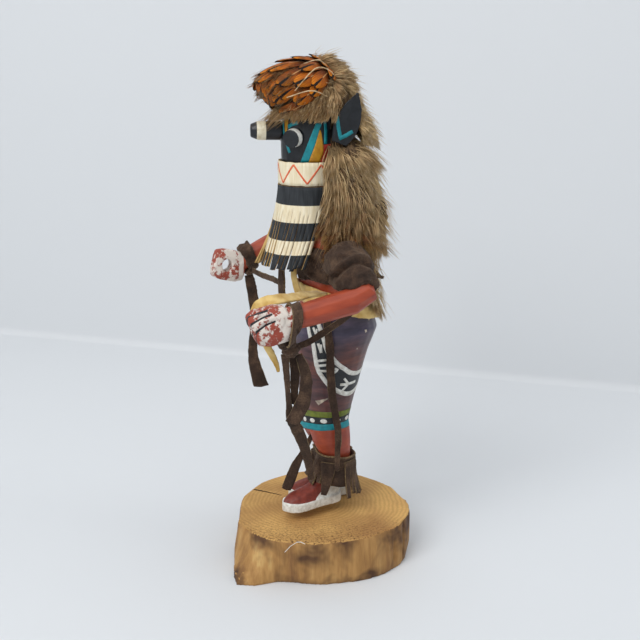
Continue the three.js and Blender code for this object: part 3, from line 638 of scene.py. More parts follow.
# Cut edge of the suede: the paler, drier fibres inside the hide.
suede_edge, tree, shader = new_material("suede_cut_edge", Roughness=0.95)
coords = object_space(tree)
nap = noisy(tree, coords, 900, 3)
tone = shades(tree, nap, [(0.35, "#54432F"), (0.65, "#86704F")])
tree.links.new(tone, shader.inputs["Base Color"])

SUEDE = 1.2


def lump(bm, place, size, seed, material=0):
    """A knotted lump of hide: size is its half widths in mm."""
    made = bmesh.ops.create_icosphere(bm, subdivisions=4, radius=1)["verts"]
    for v in made:
        d = v.co.normalized()
        fold = 1 + 0.2 * grained(d.x * 2.1, d.y * 2.1, d.z * 2.1, seed)
        fold += 0.08 * grained(d.x * 6, d.y * 6, d.z * 6, seed)
        v.co = (Vector(place) + Vector((d.x * size[0], d.y * size[1], d.z * size[2])) * fold) * MM
    for face in {f for v in made for f in v.link_faces}:
        face.material_index = material
        face.smooth = True


for side, sign, x, y, sole in [("left", 1, 4.5, 5, 33), ("right", -1, -17, 11, 27.35)]:
    bm = bmesh.new()

    def cuff(across, down):
        angle = 2 * math.pi * across + 2.4
        z = sole + 33 - 19 * down - 1.2 * math.sin(angle) + 0.8 * grained(angle * 2, 0, sole)
        creases = 0.7 * grained(angle * 1.6, z / 5, 2, sole) + 0.35 * grained(angle * 4, z / 2.2, 4, sole)
        reach = 11.2 + creases + 0.5 * across - (0.8 if 0 < down < 0.2 else 0)
        return (x + reach * math.cos(angle), y + 0.4 + 1.06 * reach * math.sin(angle), z)

    lay_sheet(bm, 60, 12, cuff)
    cuts = random.Random(11 + sign)
    strips = [(-40, 30, 20, 9.5, 3.6, 0.35), (-88, 26, 11, 5.5, 4.5, 0.8), (-68, 27, 10, 3.4, 3.2, 0.8)]
    for k in range(9):
        drop, width, kick = cuts.uniform(20, 25), cuts.uniform(2.8, 4.6), cuts.uniform(1.5, 5)
        strips.append((18 + 13.5 * k, 30, drop, width, kick, 0.6))
    for degrees, start, drop, width, kick, taper in strips:
        angle = math.radians(degrees if sign > 0 else 180 - degrees)
        sway = cuts.uniform(-2, 2)

        def hang(across, down):
            narrow = width * (1 - (1 - taper) * down**1.5) * (1 + 0.15 * grained(down * 3, degrees, 1))
            out = 12.2 + kick * down**2 + 0.5 * grained(down * 2, degrees, 5)
            aside = (across - 0.5) * narrow + sway * down**2
            return (
                x + out * math.cos(angle) - aside * math.sin(angle),
                y + out * math.sin(angle) + aside * math.cos(angle),
                max(sole + start - drop * down, 27.6 + 0.6 * (1 - down)),
            )

        lay_sheet(bm, 4, 12, hang)
    front = math.radians(-78 if sign > 0 else -102)
    lump(bm, (x + 12 * math.cos(front), y + 12 * math.sin(front), sole + 25), (3.4, 2.6, 5), sole)
    wrap = "ankle_wrap_" + side
    finish_sheet("ankle_suede_" + side, bm, "suede", [suede, suede_edge], SUEDE, [wrap], rim=1)

# ---- arms and hands ----
# Each arm is whittled in one piece and glued at the shoulder. The fists were dipped in whitewash that
# has rubbed off the knuckles, and the gaps between the fingers are cut with a knife.

# Whitewash worn through to the terracotta in chips about 1 to 2 mm across.
worn_wash, tree, shader = new_material("worn_whitewash", Roughness=0.7)
coords = object_space(tree)
chips = noisy(tree, coords, 420, 6, Roughness=0.7)
areas = noisy(tree, coords, 95, 2)
both = add_node(tree, "ShaderNodeMix", {"Factor": 0.4, "A": chips, "B": areas})
# The fingers and wrist have lost most of the wash, and a strip across the back of the hand has kept it.
along_hand = add_node(tree, "ShaderNodeSeparateXYZ", {"Vector": coords})
length_wise = ranged(tree, along_hand.outputs["Y"], -0.062, -0.036)
kept = add_node(tree, "ShaderNodeValToRGB", {"Fac": length_wise})
shares = [(0, 0.42), (0.32, 0.46), (0.55, 0.465), (0.66, 0.54), (0.76, 0.53), (0.86, 0.45), (1, 0.42)]
for position, share in shares:
    stop = kept.color_ramp.elements.new(position)
    stop.color = (share, share, share, 1)
worn_most = maths(tree, "ADD", both.outputs["Result"], kept.outputs[0])
wash = shades(tree, worn_most, [(0.955, "#9A4332"), (0.999, "#DED4CA")])
coat(tree, shader, wash, wash, 0.35, 0.25)

FIST = Vector((51.5, -49.5, 163.8))


def on_fist(degrees, z):
    """A point near the fist's surface, in mm, round its upright axis."""
    a = math.radians(degrees)
    return Vector((FIST.x + 7.4 * math.cos(a), FIST.y + 10.6 * math.sin(a), z))


finger_gaps = [
    [(-112, 163), (-96, 167), (-80, 170.4), (-58, 172.4), (-34, 173.4)],
    [(-96, 158.6), (-80, 163.4), (-64, 167.4), (-44, 170.2), (-12, 171.6)],
    [(-84, 154), (-68, 159.4), (-54, 163.4), (-34, 166.2), (2, 167.8)],
]
gap_points = []
for gap in finger_gaps:
    for a, b in zip(gap, gap[1:]):
        gap_points += [on_fist(*a).lerp(on_fist(*b), k / 8) for k in range(9)]


def fist_depth(p, normal):
    if p.y > -38:
        return 0
    nearest = min((p - q).length for q in gap_points)
    return 1.3 - 1.6 * math.exp(-((nearest / 1.0) ** 2)) if nearest < 5 else 0.9


def arm_finish(piece, wrist):
    """The part of an arm in front of y = wrist mm takes the whitewash."""
    plane = (Vector((0, wrist, 0)) * MM, Vector((0, 1, 0)))
    split_paint(piece, [plane], lambda p: 1 if p.y < wrist * MM else 0)


arm = carved("arm_left_carving", "arm_left", "body_paint", 0.6, 3, [skin_paint, worn_wash])
worn(arm, fist_depth)
arm_finish(arm, -37)
fist = Surface(arm, FIST.x, FIST.y)
# The knife cuts between the fingers are lined with black paint: painted shade in the grooves.
bm = bmesh.new()
for gap in finger_gaps:
    paint_line(bm, fist, gap, 0.95, 9, 0, 6)
finish_sheet("finger_gap_shade_left", bm, "body_paint", [black_paint], 0.12)
arm = carved("arm_right_carving", "arm_right", "body_paint", 0.7, 2, [skin_paint, worn_wash])
arm_finish(arm, -36)

# ---- suede sleeves and vest ----
# More of the same suede, bound tight round the upper arms and chest and left crumpled.


def crumple(p, normal, deep=1.0):
    """Sharp-backed folds about 8 mm apart over finer creases."""
    fold = 1 - 3.2 * abs(grained(p.x / 13, p.y / 13, p.z / 8, 2))
    crease = 0.5 - 1.6 * abs(grained(p.x / 5, p.y / 5, p.z / 3.4, 6))
    return deep * (fold + 0.7 * crease + 0.3 * grained(p.x / 1.6, p.y / 1.6, p.z / 1.2, 8))


def lapped(p, normal):
    """The sleeve's outer lap: an arched edge standing over a deep gap round the front of the upper arm."""
    off_edge = 14 * (math.hypot((p.y - 1.5) / 12.5, (p.z - 176) / 18) - 1)
    gap = -2.6 * math.exp(-((off_edge / 0.9) ** 2)) + 1.4 * math.exp(-(((off_edge - 2) / 1.1) ** 2))
    on_side = between(abs(p.x), 22, 27) * between(p.z, 170, 176) * between(p.y, 15, 9)
    return crumple(p, normal, 0.75) + on_side * (gap + (0.5 if off_edge < 0 else 0.2))


for name, node, grain, folds in [
    ("sleeve_left_suede", "sleeve_left", 0.65, lapped), ("sleeve_right_suede", "sleeve_right", 0.65, lapped),
    ("vest_suede", "vest", 0.9, crumple),
]:
    worn(carved(name, node, "suede", grain, 2, [suede]), folds)

# ---- mask ----
# A case mask turned from a block, painted black with turquoise, ochre and red; the snout, eyes and
# ears are separate carvings pegged and glued on.

ochre_paint = poster_paint("ochre_poster_paint", "#BE8A1C", "#A5700F")
red_paint = poster_paint("red_poster_paint", "#B3362C", "#8E2018")
cream_paint = poster_paint("cream_poster_paint", "#E6DEC6", "#CFC3A4")
AXIS_Y = -10
FACE_TURN = -102  # the direction the face looks, in degrees

head = carved("mask_carving", "head_mask", "mask_paint", 0.7, 3, [black_paint])
worn(head, lambda p, normal: 0.12 * grained(p.x / 5, p.y / 5, p.z / 5))
face_side = Surface(head, 0, AXIS_Y)
bm = bmesh.new()
for side in (1, -1):
    # One side's paint is laid in degrees round the mask, and the other side mirrors it about the face.
    def turned(route):
        return [(a if side > 0 else 2 * FACE_TURN - a, z) for a, z in route]

    def patch(left, right, material, rows=10):
        paint_patch(bm, face_side, turned(left), turned(right), material, 6, rows)

    paint_line(bm, face_side, turned([(-88, 268), (-79, 260.1), (-70, 254.5), (-62, 250)]), 1.9, 16, 0)
    patch([(-85, 271), (-75, 261.8), (-70, 257)], [(-66, 270), (-67.5, 263), (-69, 257)], 1)
    paint_line(bm, face_side, turned([(-66, 264.2), (-53, 266), (-42, 266.8)]), 2.2, 16, 0)
    stripe_front = [(-4, 266.5), (-10, 262.9), (-23, 254.1), (-37, 244.8)]
    stripe_back = [(10, 266.5), (3.5, 262.9), (-6, 254.7), (-20, 244.8)]
    patch(stripe_front, stripe_back, 0, 14)
    patch([(3.5, 262.9), (-6, 254.7), (-20, 244.8)], [(6, 262.5), (14, 251.7), (5, 244.8)], 1, 12)
    paint_line(bm, face_side, turned([(17, 268), (17.5, 262), (18, 255)]), 2.3, 16, 0)
    patch([(9, 254.5), (6, 249), (5, 244.8)], [(38, 255), (42, 250), (42, 244.8)], 2, 8)
finish_sheet("mask_paint", bm, "mask_paint", [turquoise_paint, ochre_paint, red_paint], 0.1)


def look(degrees, reach, z):
    a = math.radians(FACE_TURN + degrees)
    return Vector((reach * math.cos(a), AXIS_Y + reach * math.sin(a), z))


def banded(piece, start, end, near, far):
    """Paints a peg's second colour between two distances in mm from its end."""
    axis = (start - end).normalized()
    planes = [((end + axis * cut) * MM, axis) for cut in (near, far)]
    split_paint(piece, planes, lambda p: 1 if near < (p / MM - end).dot(axis) < far else 0)


nose = carved("snout_carving", "snout", "mask_paint", 0.5, 4, [black_paint, cream_paint])
banded(nose, look(0, 10, 261.6), look(0, 33, 261.8), 3.4, 8.5)
for side, turn in [("left", 55), ("right", -55)]:
    drum = carved("eye_drum_" + side, "eye_" + side, "eye_paint", 0.35, 2, [black_paint, white_paint])
    banded(drum, look(turn, 9, 259.6), look(turn, 21.5, 258.2), 0.6, 4.4)


class SideSurface(Surface):
    """A surface that paint is laid on from the figure's left or right, by its y and z in mm."""

    def __init__(self, piece, sign):
        super().__init__(piece, 0, 0)
        self.sign = sign

    def at(self, y, z, proud=0.05):
        for inward in range(8):  # a point just off the edge is moved back onto it
            start = Vector((self.sign * 60, y + 0.4 * inward, z))
            hit = self.tree.ray_cast(start * MM, Vector((-self.sign, 0, 0)))
            if hit[0] is not None:
                break
        return (hit[0] + hit[1] * proud * MM) / MM


FLAT = 180 / math.pi  # makes paint_line read its first number as mm
for side, sign in [("left", 1), ("right", -1)]:
    ear = carved("ear_leaf_" + side, "ear_" + side, "mask_paint", 0.5, 2, [black_paint])
    leaf = SideSurface(ear, sign)
    bm = bmesh.new()
    paint_line(bm, leaf, [(-0.6, 270.2), (0.7, 264), (2.2, 258.2)], 2.2, FLAT, 0, 5)
    paint_line(bm, leaf, [(1.4, 258), (5.2, 259.6), (9.2, 261.8)], 2.2, FLAT, 0, 5)
    finish_sheet("ear_stripe_" + side, bm, "mask_paint", [turquoise_paint], 0.1)

# ---- rawhide neck band and bib ----
# Scraped rawhide, stiff and cream on the outside, tan inside. The band is stapled round the neck;
# the bib under it is striped with paint and then cut into strips that have curled forward.

RAWHIDE = 0.9


def hide_material(name, stops, rough):
    """Rawhide: a dry translucent-looking skin with fine scrape marks running down it."""
    material, tree, shader = new_material(name, Roughness=rough)
    down = object_space(tree, (1, 1, 0.12))
    scrape = noisy(tree, down, 620, 4)
    tone = shades(tree, scrape, stops)
    coat(tree, shader, tone, scrape, 0.3, 0.2)
    return material


cream_hide = hide_material("cream_rawhide", [(0.35, "#E2D2AE"), (0.65, "#F1E7CC")], 0.7)
tan_hide = hide_material("raw_tan_rawhide", [(0.35, "#A9834A"), (0.65, "#D2B070")], 0.75)
black_hide = hide_material("black_painted_rawhide", [(0.35, "#1C2024"), (0.7, "#34383C")], 0.8)
zigzag_paint = poster_paint("orange_red_crayon", "#E8744C", "#D05A36", 0.7)
BAND_R = 17.1


def band(across, down):
    angle = 2 * math.pi * across
    ragged = 0.35 * grained(angle * 5, down * 2, 3) if down in (0, 1) else 0
    return (BAND_R * math.cos(angle), AXIS_Y + BAND_R * math.sin(angle), 245 - 13 * down + ragged)


bm = bmesh.new()
lay_sheet(bm, 96, 6, band)
bmesh.ops.remove_doubles(bm, verts=bm.verts, dist=1e-6)
hides = [cream_hide, tan_hide]
neck = finish_sheet("neck_band_rawhide", bm, "rawhide", hides, RAWHIDE, ["neck_band"], rim=1)
collar = Surface(neck, 0, AXIS_Y)
bm = bmesh.new()
ZIG = 26  # degrees from one point of the zigzag to the next
for k in range(-9, 4):
    heights = (233.2, 243.8) if k % 2 == 0 else (243.8, 233.2)
    route = [(-22 + ZIG * (k + i), z) for i, z in enumerate(heights)]
    paint_line(bm, collar, route, 1.0, 18, 0, 10)
finish_sheet("neck_band_zigzag", bm, "rawhide", [zigzag_paint], 0.1)

STRIPS = 24
SLIT = 0.24
bands_down = [0.0, 0.225, 0.435, 0.655, 0.825, 1.0]


def lean_of(across):
    points = [(0, 13), (0.3, 10.5), (0.5, 8.5), (0.75, 10.5), (1, 15)]
    return float(np.interp(across, [p[0] for p in points], [p[1] for p in points]))


def on_bib(across, down, flare):
    angle = math.radians(12 - 190 * across)
    lean = down**1.5 * (lean_of(across) + flare)
    radius = BAND_R + 0.3 + lean * 0.2
    return Vector((
        radius * math.cos(angle), AXIS_Y + radius * math.sin(angle) - lean, 231.5 - 47 * down + 0.1 * lean,
    ))


bm = bmesh.new()
curls = random.Random(5)
flares = []
for i in range(STRIPS):
    outward = 4 * (i - 15) / 8 if i > 15 else 0
    flares.append(1.2 * math.sin(i * 1.2) + outward + curls.uniform(-0.5, 0.5))
for i in range(STRIPS):
    length = 1 + curls.uniform(-0.015, 0.02)
    gap = 0.9 if i in (7, 12, 17) else 0.16 if i % 2 else 0.04
    twist = curls.uniform(-1.4, 1.4) if i > 14 else curls.uniform(-0.4, 0.4)
    for row in range(5):
        top, bottom = bands_down[row], bands_down[row + 1] * (length if row == 4 else 1)

        def strip(across, down):
            d = top + (bottom - top) * down
            opened = max(0.0, d - SLIT) / (1 - SLIT)
            edge = gap * opened * (across * 2 - 1) * -0.5
            share = (i + across + edge * 0.5) / STRIPS
            p = on_bib(share, d, flares[i] * opened)
            return p + Vector((0, -1, 0)) * twist * opened**1.6 * (across - 0.5)

        lay_sheet(bm, 2, 5, strip, 1 if row % 2 == 0 else 0)
bmesh.ops.remove_doubles(bm, verts=bm.verts, dist=2e-5)
bib = finish_sheet("bib_rawhide", bm, "rawhide", [cream_hide, black_hide, tan_hide], 0.8, ["bib"], rim=2)
for face in bib.data.polygons:
    out = Vector((face.center.x, face.center.y - AXIS_Y * MM, 0)).normalized()
    if face.normal.dot(out) < 0.1 and face.material_index != 2:
        face.material_index = 2

# ---- suede thongs and wrist ties ----
# Strips cut and torn from the same suede, knotted at the wrists and belt and left to hang; they
# twist a little, their edges curl, and each end is cut on the slant.


def route_point(route, share):
    """A point on a smooth curve through a route of points or numbers, share running from 0 to 1."""
    spot = min(max(share, 0), 1) * (len(route) - 1)
    i = min(int(spot), len(route) - 2)
    t = spot - i
    a, b, c, d = (route[min(max(k, 0), len(route) - 1)] for k in (i - 1, i, i + 1, i + 2))
    return 0.5 * (b * 2 + (c - a) * t + (a * 2 - b * 5 + c * 4 - d) * t**2 + (b * 3 - a - c * 3 + d) * t**3)


def lay_strip(bm, route, widths, facing, seed, slant=0.0, curl=0.5, twist=16, rough=0.13):
    """Adds a strip of hide along a route in mm; its broad side turns from one facing to the other."""
    route = [Vector(p) for p in route]
    facing = [Vector(f).normalized() for f in facing]
    length = sum((b - a).length for a, b in zip(route, route[1:]))
    rows = max(10, int(length / 1.6))

    def place(across, down):
        wide = route_point(widths, down) * (1 + rough * grained(length * down / 5, seed, 1))
        share = down + slant * (across - 0.5) * down**3 * wide / length
        p = route_point(route, share)
        ahead = (route_point(route, share + 0.01) - route_point(route, share - 0.01)).normalized()
        front = facing[0].lerp(facing[1], down).normalized()
        front = Matrix.Rotation(math.radians(twist * grained(length * down / 14, seed, 9)), 3, ahead) @ front
        side = ahead.cross(front).normalized()
        front = side.cross(ahead)
        nick = 0.22 * grained(length * down / 1.7, across * 4, seed) if across in (0, 1) else 0
        gutter = curl * grained(length * down / 12, seed, 4) * (2 * across - 1) ** 2 * wide / 4
        ripple = 0.3 * grained(length * down / 4, across * 2, seed + 2)
        return p + side * ((across - 0.5) * wide + nick) + front * (gutter + ripple)

    lay_sheet(bm, 6, rows, place)


OUTWARD = (0.94, -0.34, 0)
AHEAD = (0.35, -0.93, 0)
thongs = {
    "belt_thong": (
        [(25, 7, 159.5), (29, -0.9, 156), (33, -9.1, 153.4), (37.5, -16.7, 151.5), (42, -24.8, 149.5),
         (45.4, -32.6, 148.6)],
        [3.6, 3.4, 3.6, 3.2], [(0.9, -0.3, 0.2), (0.8, -0.5, 0.3)], 0,
    ),
    "wrist_tail_broad": (
        [(47, -32.7, 144.5), (46.3, -28.5, 133), (45.5, -28.1, 123.6), (44.5, -30, 114.1),
         (43.5, -35.8, 103.2)],
        [3.8, 6.2, 6.8, 8.2, 7.6], [OUTWARD, OUTWARD], 0.5,
    ),
    "wrist_tail_inner": (
        [(44, -34.6, 144.5), (42.6, -33.3, 134.7), (41.5, -33.3, 123.9), (40.5, -33.3, 113.5)],
        [5.4, 5, 3.6], [OUTWARD, OUTWARD], -0.6,
    ),
    "wrist_tail_long": (
        [(48.5, -41, 145.8), (46, -39.2, 132), (42.1, -37.1, 117.4), (38.6, -34.5, 104.8), (35, -28.8, 94),
         (30, -22.7, 79.2), (24.5, -18.3, 65.7), (21, -16.5, 57.4)],
        [4.4, 3.4, 2.8, 5.4, 6.8, 5.6, 4.6, 3.4], [OUTWARD, OUTWARD], 0.8,
    ),
    "hem_thong": (
        [(-4, -6.9, 75), (-3, -12.6, 66), (-2, -18.2, 57.5), (-1, -22.5, 48.5), (0.4, -25.6, 43)],
        [3, 4, 6.5, 5.5], [OUTWARD, OUTWARD], 0.6,
    ),
    "hip_thong": (
        [(20.6, -6.6, 156), (21.6, -6, 148.2), (22, -4.9, 136), (21, -4.1, 122), (19.3, -2.2, 106.8),
         (19.4, 0, 93.8), (19.4, 1.4, 84), (19.2, 1.2, 72.1), (19, 1, 59.3)],
        [4.4, 4.6, 4.6, 4, 2.6], [OUTWARD, OUTWARD], -0.9,
    ),
    "wrist_tail_right": (
        [(-53.5, -31.5, 168), (-53, -29.8, 158.4), (-54, -27.8, 141.5), (-54, -29.4, 125),
         (-53, -29.3, 111.8), (-51.5, -25, 93.5)],
        [5.5, 6.5, 4.8, 6.5, 9.5], [OUTWARD, OUTWARD], -0.45,
    ),
    "cross_thong": (
        [(-46.5, -31, 172.6), (-38, -27.8, 171.1), (-22, -25.2, 171.6), (-6, -23.4, 171.2)],
        [3.2, 3.2, 3.4], [AHEAD, AHEAD], 0,
    ),
    "chest_thong": (
        [(-2, -20.5, 199), (-2, -26, 190.2), (-2, -26.3, 180), (-2, -26.2, 166)],
        [5, 5, 5.4], [AHEAD, AHEAD], 0.4,
    ),
}
for seed, (name, (route, widths, facing, slant)) in enumerate(thongs.items()):
    bm = bmesh.new()
    lay_strip(bm, route, widths, facing, seed, slant)
    finish_sheet(name + "_suede", bm, "suede", [suede, suede_edge], SUEDE, [name], rim=1)

# The left wrist's tie is one loop pulled tight under the hand by a knot; the right wrist's is wound
# round and knotted below.
bm = bmesh.new()
knot = Vector((49, -40.1, 152.4))
WRIST = Vector((51.5, -37.5, 164))
left_arm = BVHTree.FromObject(bpy.data.objects["arm_left_carving"], bpy.context.evaluated_depsgraph_get())


def wrist_loop(across, down):
    turn = 2 * math.pi * down - math.pi / 2
    out = Vector((math.cos(turn), 0, math.sin(turn)))
    y = WRIST.y + (across - 0.5) * 5.8 * (1 + 0.16 * grained(down * 8, 2, 2)) + 1.2 * math.sin(turn)
    start = Vector((WRIST.x, y, WRIST.z))
    hit = left_arm.ray_cast((start + out * 30) * MM, -out)
    reach = 9 if hit[0] is None else (hit[0] / MM - start).length
    sag = 2.2 * math.exp(-((math.sin(turn / 2 + math.pi / 4) / 0.35) ** 2))
    crease = 0.35 * grained(down * 9, across * 3, 3) + 0.4 * abs(2 * across - 1) ** 2
    return start + out * (reach + 0.9 + crease + sag)


lay_sheet(bm, 6, 72, wrist_loop)
finish_sheet("wrist_loop_left", bm, "suede", [suede, suede_edge], SUEDE, [], rim=1)
bm = bmesh.new()
lump(bm, knot, (4.4, 4.9, 4.6), 3)
lump(bm, knot + Vector((-0.6, 2.4, -4.2)), (4.2, 5, 4.4), 8)
lump(bm, knot + Vector((1.8, -2.6, 1.6)), (3, 3.2, 3.2), 12)
finish_sheet("wrist_knot_left", bm, "suede", [suede], 0, ["wrist_tie_left"])
winding = carved("wrist_winding_right", "wrist_tie_right", "suede", 0.5, 3, [suede])
worn(winding, lambda p, n: crumple(p, n, 0.6))

# ---- chamois sash and ties ----
# Soft yellow chamois leather: a sash wrapped round the waist, with one end drawn over the left hand.

# Chamois: a fine open nap, golden buff with paler rubbed ridges.
chamois, tree, shader = new_material("buff_chamois", Roughness=1.0, Sheen_Weight=0.2)
coords = object_space(tree)
nap = noisy(tree, coords, 900, 5)
cloud = noisy(tree, coords, 150, 4)
tone = shades(tree, cloud, [(0.32, "#BE9548"), (0.62, "#E3C581")])
coat(tree, shader, tone, nap, 0.7, 0.4)


def sash_folds(p, normal):
    around = math.atan2(p.y, p.x)
    return 0.8 * grained(around * 1.5, p.z / 4, 2) + 0.25 * grained(around * 6, p.z / 1.6, 4)


worn(carved("sash", "chamois_sash", "chamois", 0.8, 2, [chamois]), sash_folds)
chamois_ties = {
    "chamois_strip": (
        [(17, -8, 170.5), (27, -19, 172.8), (37, -32, 174.4), (45, -45, 176), (43.6, -53.6, 173.6),
         (41, -55.4, 165), (39.6, -49, 150.5), (38.6, -43.4, 139), (37.8, -41.4, 133)],
        [6.5, 6.5, 6, 5, 4, 1.6], [(0.5, -0.45, 0.7), (0.9, -0.3, 0.1)],
    ),
    "chamois_tie": (
        [(8, -19, 167.5), (9, -21.4, 175), (9, -22.6, 183), (6, -19.8, 191)],
        [3.6, 3.4, 3], [OUTWARD, OUTWARD],
    ),
}
for seed, (name, (route, widths, facing)) in enumerate(chamois_ties.items()):
    bm = bmesh.new()
    lay_strip(bm, route, widths, facing, 30 + seed, curl=0.2, twist=6)
    finish_sheet(name + "_leather", bm, "chamois", [chamois], SUEDE, [name])

# ---- fur ----
# Three pieces of pelt with the hair on: a cap behind the crest, a ruff round the neck and a mantle
# down the back. Under the guard hairs, which lie in locks, is a dense darker underfur.

# Guard hair: agouti, banded along each hair. U is the hair's tone, dark to pale, and V runs from root
# to tip.
guard_hair, tree, shader = new_material("agouti_guard_hair", Roughness=0.7)
split = add_node(tree, "ShaderNodeSeparateXYZ", {"Vector": add_node(tree, "ShaderNodeUVMap").outputs[0]})
dark_and_pale = []
for stops in (
    [(0, "#2C1A0A"), (0.3, "#6C401A"), (0.55, "#865222"), (0.72, "#543010"), (0.9, "#B88238"),
     (1, "#E0B870")],
    [(0, "#967C54"), (0.3, "#CDAE7C"), (0.6, "#E2C898"), (0.78, "#D0AE78"), (0.92, "#F4E0BC"),
     (1, "#FCF5E4")],
):
    dark_and_pale.append(shades(tree, split.outputs["Y"], stops))
agouti = mixed_colour(tree, split.outputs["X"], dark_and_pale[0], dark_and_pale[1])
tree.links.new(agouti, shader.inputs["Base Color"])

# Underfur: the felted wool next to the skin, seen only between the locks.
underfur, tree, shader = new_material("felted_underfur", Roughness=1.0)
down = object_space(tree, (1, 1, 0.3))
wool = noisy(tree, down, 700, 5)
tone = shades(tree, wool, [(0.35, "#3A2A1B"), (0.7, "#7C6244")])
coat(tree, shader, tone, wool, 0.9, 0.8)


def unit(rows):
    return rows / np.maximum(np.linalg.norm(rows, axis=1, keepdims=True), 1e-9)


WILD = 0.05  # share of the hairs that stand up out of their lock
CROWN_Z = 262  # mm; above it the fur grows out from a rounded crown


def scatter(mesh, count, dice, centre):
    """Random points in mm on a mesh, and the normals there, leaving out faces that look inward."""
    mesh.calc_loop_triangles()
    corners = np.array([[mesh.vertices[i].co for i in t.vertices] for t in mesh.loop_triangles]) / MM
    normals = np.array([t.normal for t in mesh.loop_triangles])
    middles = corners.mean(axis=1) - np.array([0, centre, 0])
    middles[:, 2] = np.maximum(middles[:, 2] - CROWN_Z, 0) * 1.2
    areas = np.array([t.area for t in mesh.loop_triangles])
    areas[(unit(middles) * normals).sum(axis=1) < 0.1] = 0
    picked = dice.choice(len(areas), count, p=areas / areas.sum())
    a, b = dice.random((2, count, 1))
    a, b = np.where(a + b > 1, 1 - a, a), np.where(a + b > 1, 1 - b, b)
    p = corners[picked]
    return p[:, 0] + a * (p[:, 1] - p[:, 0]) + b * (p[:, 2] - p[:, 0]), normals[picked]


def grow_hair(
    name, slot, mesh, count, lengths, comb, tone, seed, keep,
    locks=700, lift=20, sink=4.0, width=0.25, centre=-6,
):
    """Grows hairs on a mesh as closed three-sided needles with one bend, gathered into pointed locks."""
    dice = np.random.default_rng(seed)
    root, normal = scatter(mesh, count, dice, centre)
    flow = comb(root)
    flow = unit(flow - normal * (flow * normal).sum(axis=1, keepdims=True) * 0.8)
    wild = dice.random((count, 1)) < WILD
    rise = np.radians(dice.normal(lift, lift * 0.35, (count, 1)) + np.where(wild, 25, 0))
    start = unit(flow * np.cos(rise) + normal * np.sin(rise) + dice.normal(0, 0.1, (count, 3)))
    end = unit(start + flow * 0.5 + dice.normal(0, 0.1, (count, 3)) + np.array([0, 0, -0.3]))
    long = dice.uniform(*lengths, (count, 1)) * np.where(wild, 1.2, 1)
    root = root - normal * (sink + 3.5 * between(root[:, 1:2], 14, 30) * between(root[:, 2:], 255, 235))
    bend = root + start * long * 0.5
    tip = bend + end * long * 0.5
    leader = dice.choice(count, locks, replace=False)
    lock = np.empty(count, dtype=int)
    for part in np.array_split(np.arange(count), 40):
        gaps = ((root[part, None] - root[None, leader]) ** 2).sum(axis=2)
        lock[part] = leader[gaps.argmin(axis=1)]
    pull = np.where(wild, 0.1, 0.8) * dice.uniform(0.75, 1.05, (count, 1))
    bend = bend + (bend[lock] - bend) * pull * 0.55
    tip = tip + (tip[lock] - tip) * pull * 0.9
    shade = tone(root) + dice.normal(0, 0.07, count) + np.where(wild[:, 0], 0.25, 0)
    shade = shade + dice.normal(0, 0.1, count)[lock]
    thick = width * dice.uniform(0.7, 1.25, (count, 1)) * np.where(wild, 0.6, 1)
    kept = keep(root) & keep(tip)
    stations = np.stack([root, bend, tip], axis=1)[kept]
    shade, thick, count = shade[kept], thick[kept], int(kept.sum())
    ahead = unit(stations[:, 2] - stations[:, 0])
    side = unit(np.cross(ahead, normal[kept] + dice.normal(0, 0.3, (count, 3))))
    other = np.cross(ahead, side)
    ring = [side * math.cos(a) + other * math.sin(a) for a in (0, 2 * math.pi / 3, 4 * math.pi / 3)]
    points = [stations[:, 0] + d * thick for d in ring] + [stations[:, 1] + d * thick * 0.85 for d in ring]
    points = np.stack(points + [stations[:, 2]], axis=1).reshape(-1, 3) * MM
    quads = np.array([(k, (k + 1) % 3, 3 + (k + 1) % 3, 3 + k) for k in range(3)])
    points_of = np.arange(count)[:, None, None] * 7
    spikes = np.array([(3 + k, 3 + (k + 1) % 3, 6) for k in range(3)] + [(2, 1, 0)])
    hair = bpy.data.meshes.new(name)
    hair.vertices.add(len(points))
    hair.vertices.foreach_set("co", points.ravel())
    loops = np.concatenate([(points_of + quads).ravel(), (points_of + spikes).ravel()])
    starts = np.concatenate([np.arange(count * 3) * 4, count * 12 + np.arange(count * 4) * 3])
    hair.loops.add(len(loops))
    hair.loops.foreach_set("vertex_index", loops)
    hair.polygons.add(len(starts))
    hair.polygons.foreach_set("loop_start", starts)
    hair.polygons.foreach_set("use_smooth", np.ones(len(starts), dtype=bool))
    hair.update(calc_edges=True)
    along = np.tile([0, 0, 0, 0.55, 0.55, 0.55, 1], count)
    uv = np.stack([np.repeat(np.clip(shade, 0.02, 0.98), 7), along], axis=1)
    hair.uv_layers.new(name="UVMap").data.foreach_set("uv", uv[loops].ravel())
    hair.materials.append(guard_hair)
    return show(name, hair, slot)


def ear_place(p):
    """Points against the ear leaves, in mm: behind the midline, up the leaf, the leaf's half width."""
    behind = 0.934 * (p[:, 1] - 1) - 0.358 * (p[:, 2] - 255.6)
    up = 0.358 * (p[:, 1] - 1) + 0.934 * (p[:, 2] - 255.6)
    return behind, up, np.interp(up, [-3, 0, 5, 12, 21, 27, 31], [3, 5, 7, 7.8, 5.8, 3.2, 0])


def combed(p, x, y, z):
    """The hair's direction at each point; each part is one number, or a value for every point."""
    return np.stack([part + 0.0 * p[:, 0] for part in (x, y, z)], axis=1)


def steady(spread, y, z):
    """A comb that runs one way and parts a little to each side."""

    def comb(p):
        return combed(p, p[:, 0] * spread, y, z)

    return comb


def cap_comb(p):
    back = between(p[:, 1], -12, 16)
    fall = 0.25 - 1.0 * back * between(p[:, 2], 296, 272)
    swept = combed(p, np.sign(p[:, 0]) * 0.25, 0.9 - 0.3 * back, fall)
    # In front of the ears the hair lies down along the edge of the leaf.
    behind, up, _ = ear_place(p)
    share = (between(behind, 0, -5) * between(up, 34, 24) * between(abs(p[:, 0]), 7, 11))[:, None]
    return swept * (1 - share) + combed(p, p[:, 0] * 0.01, -0.45, -0.9) * share


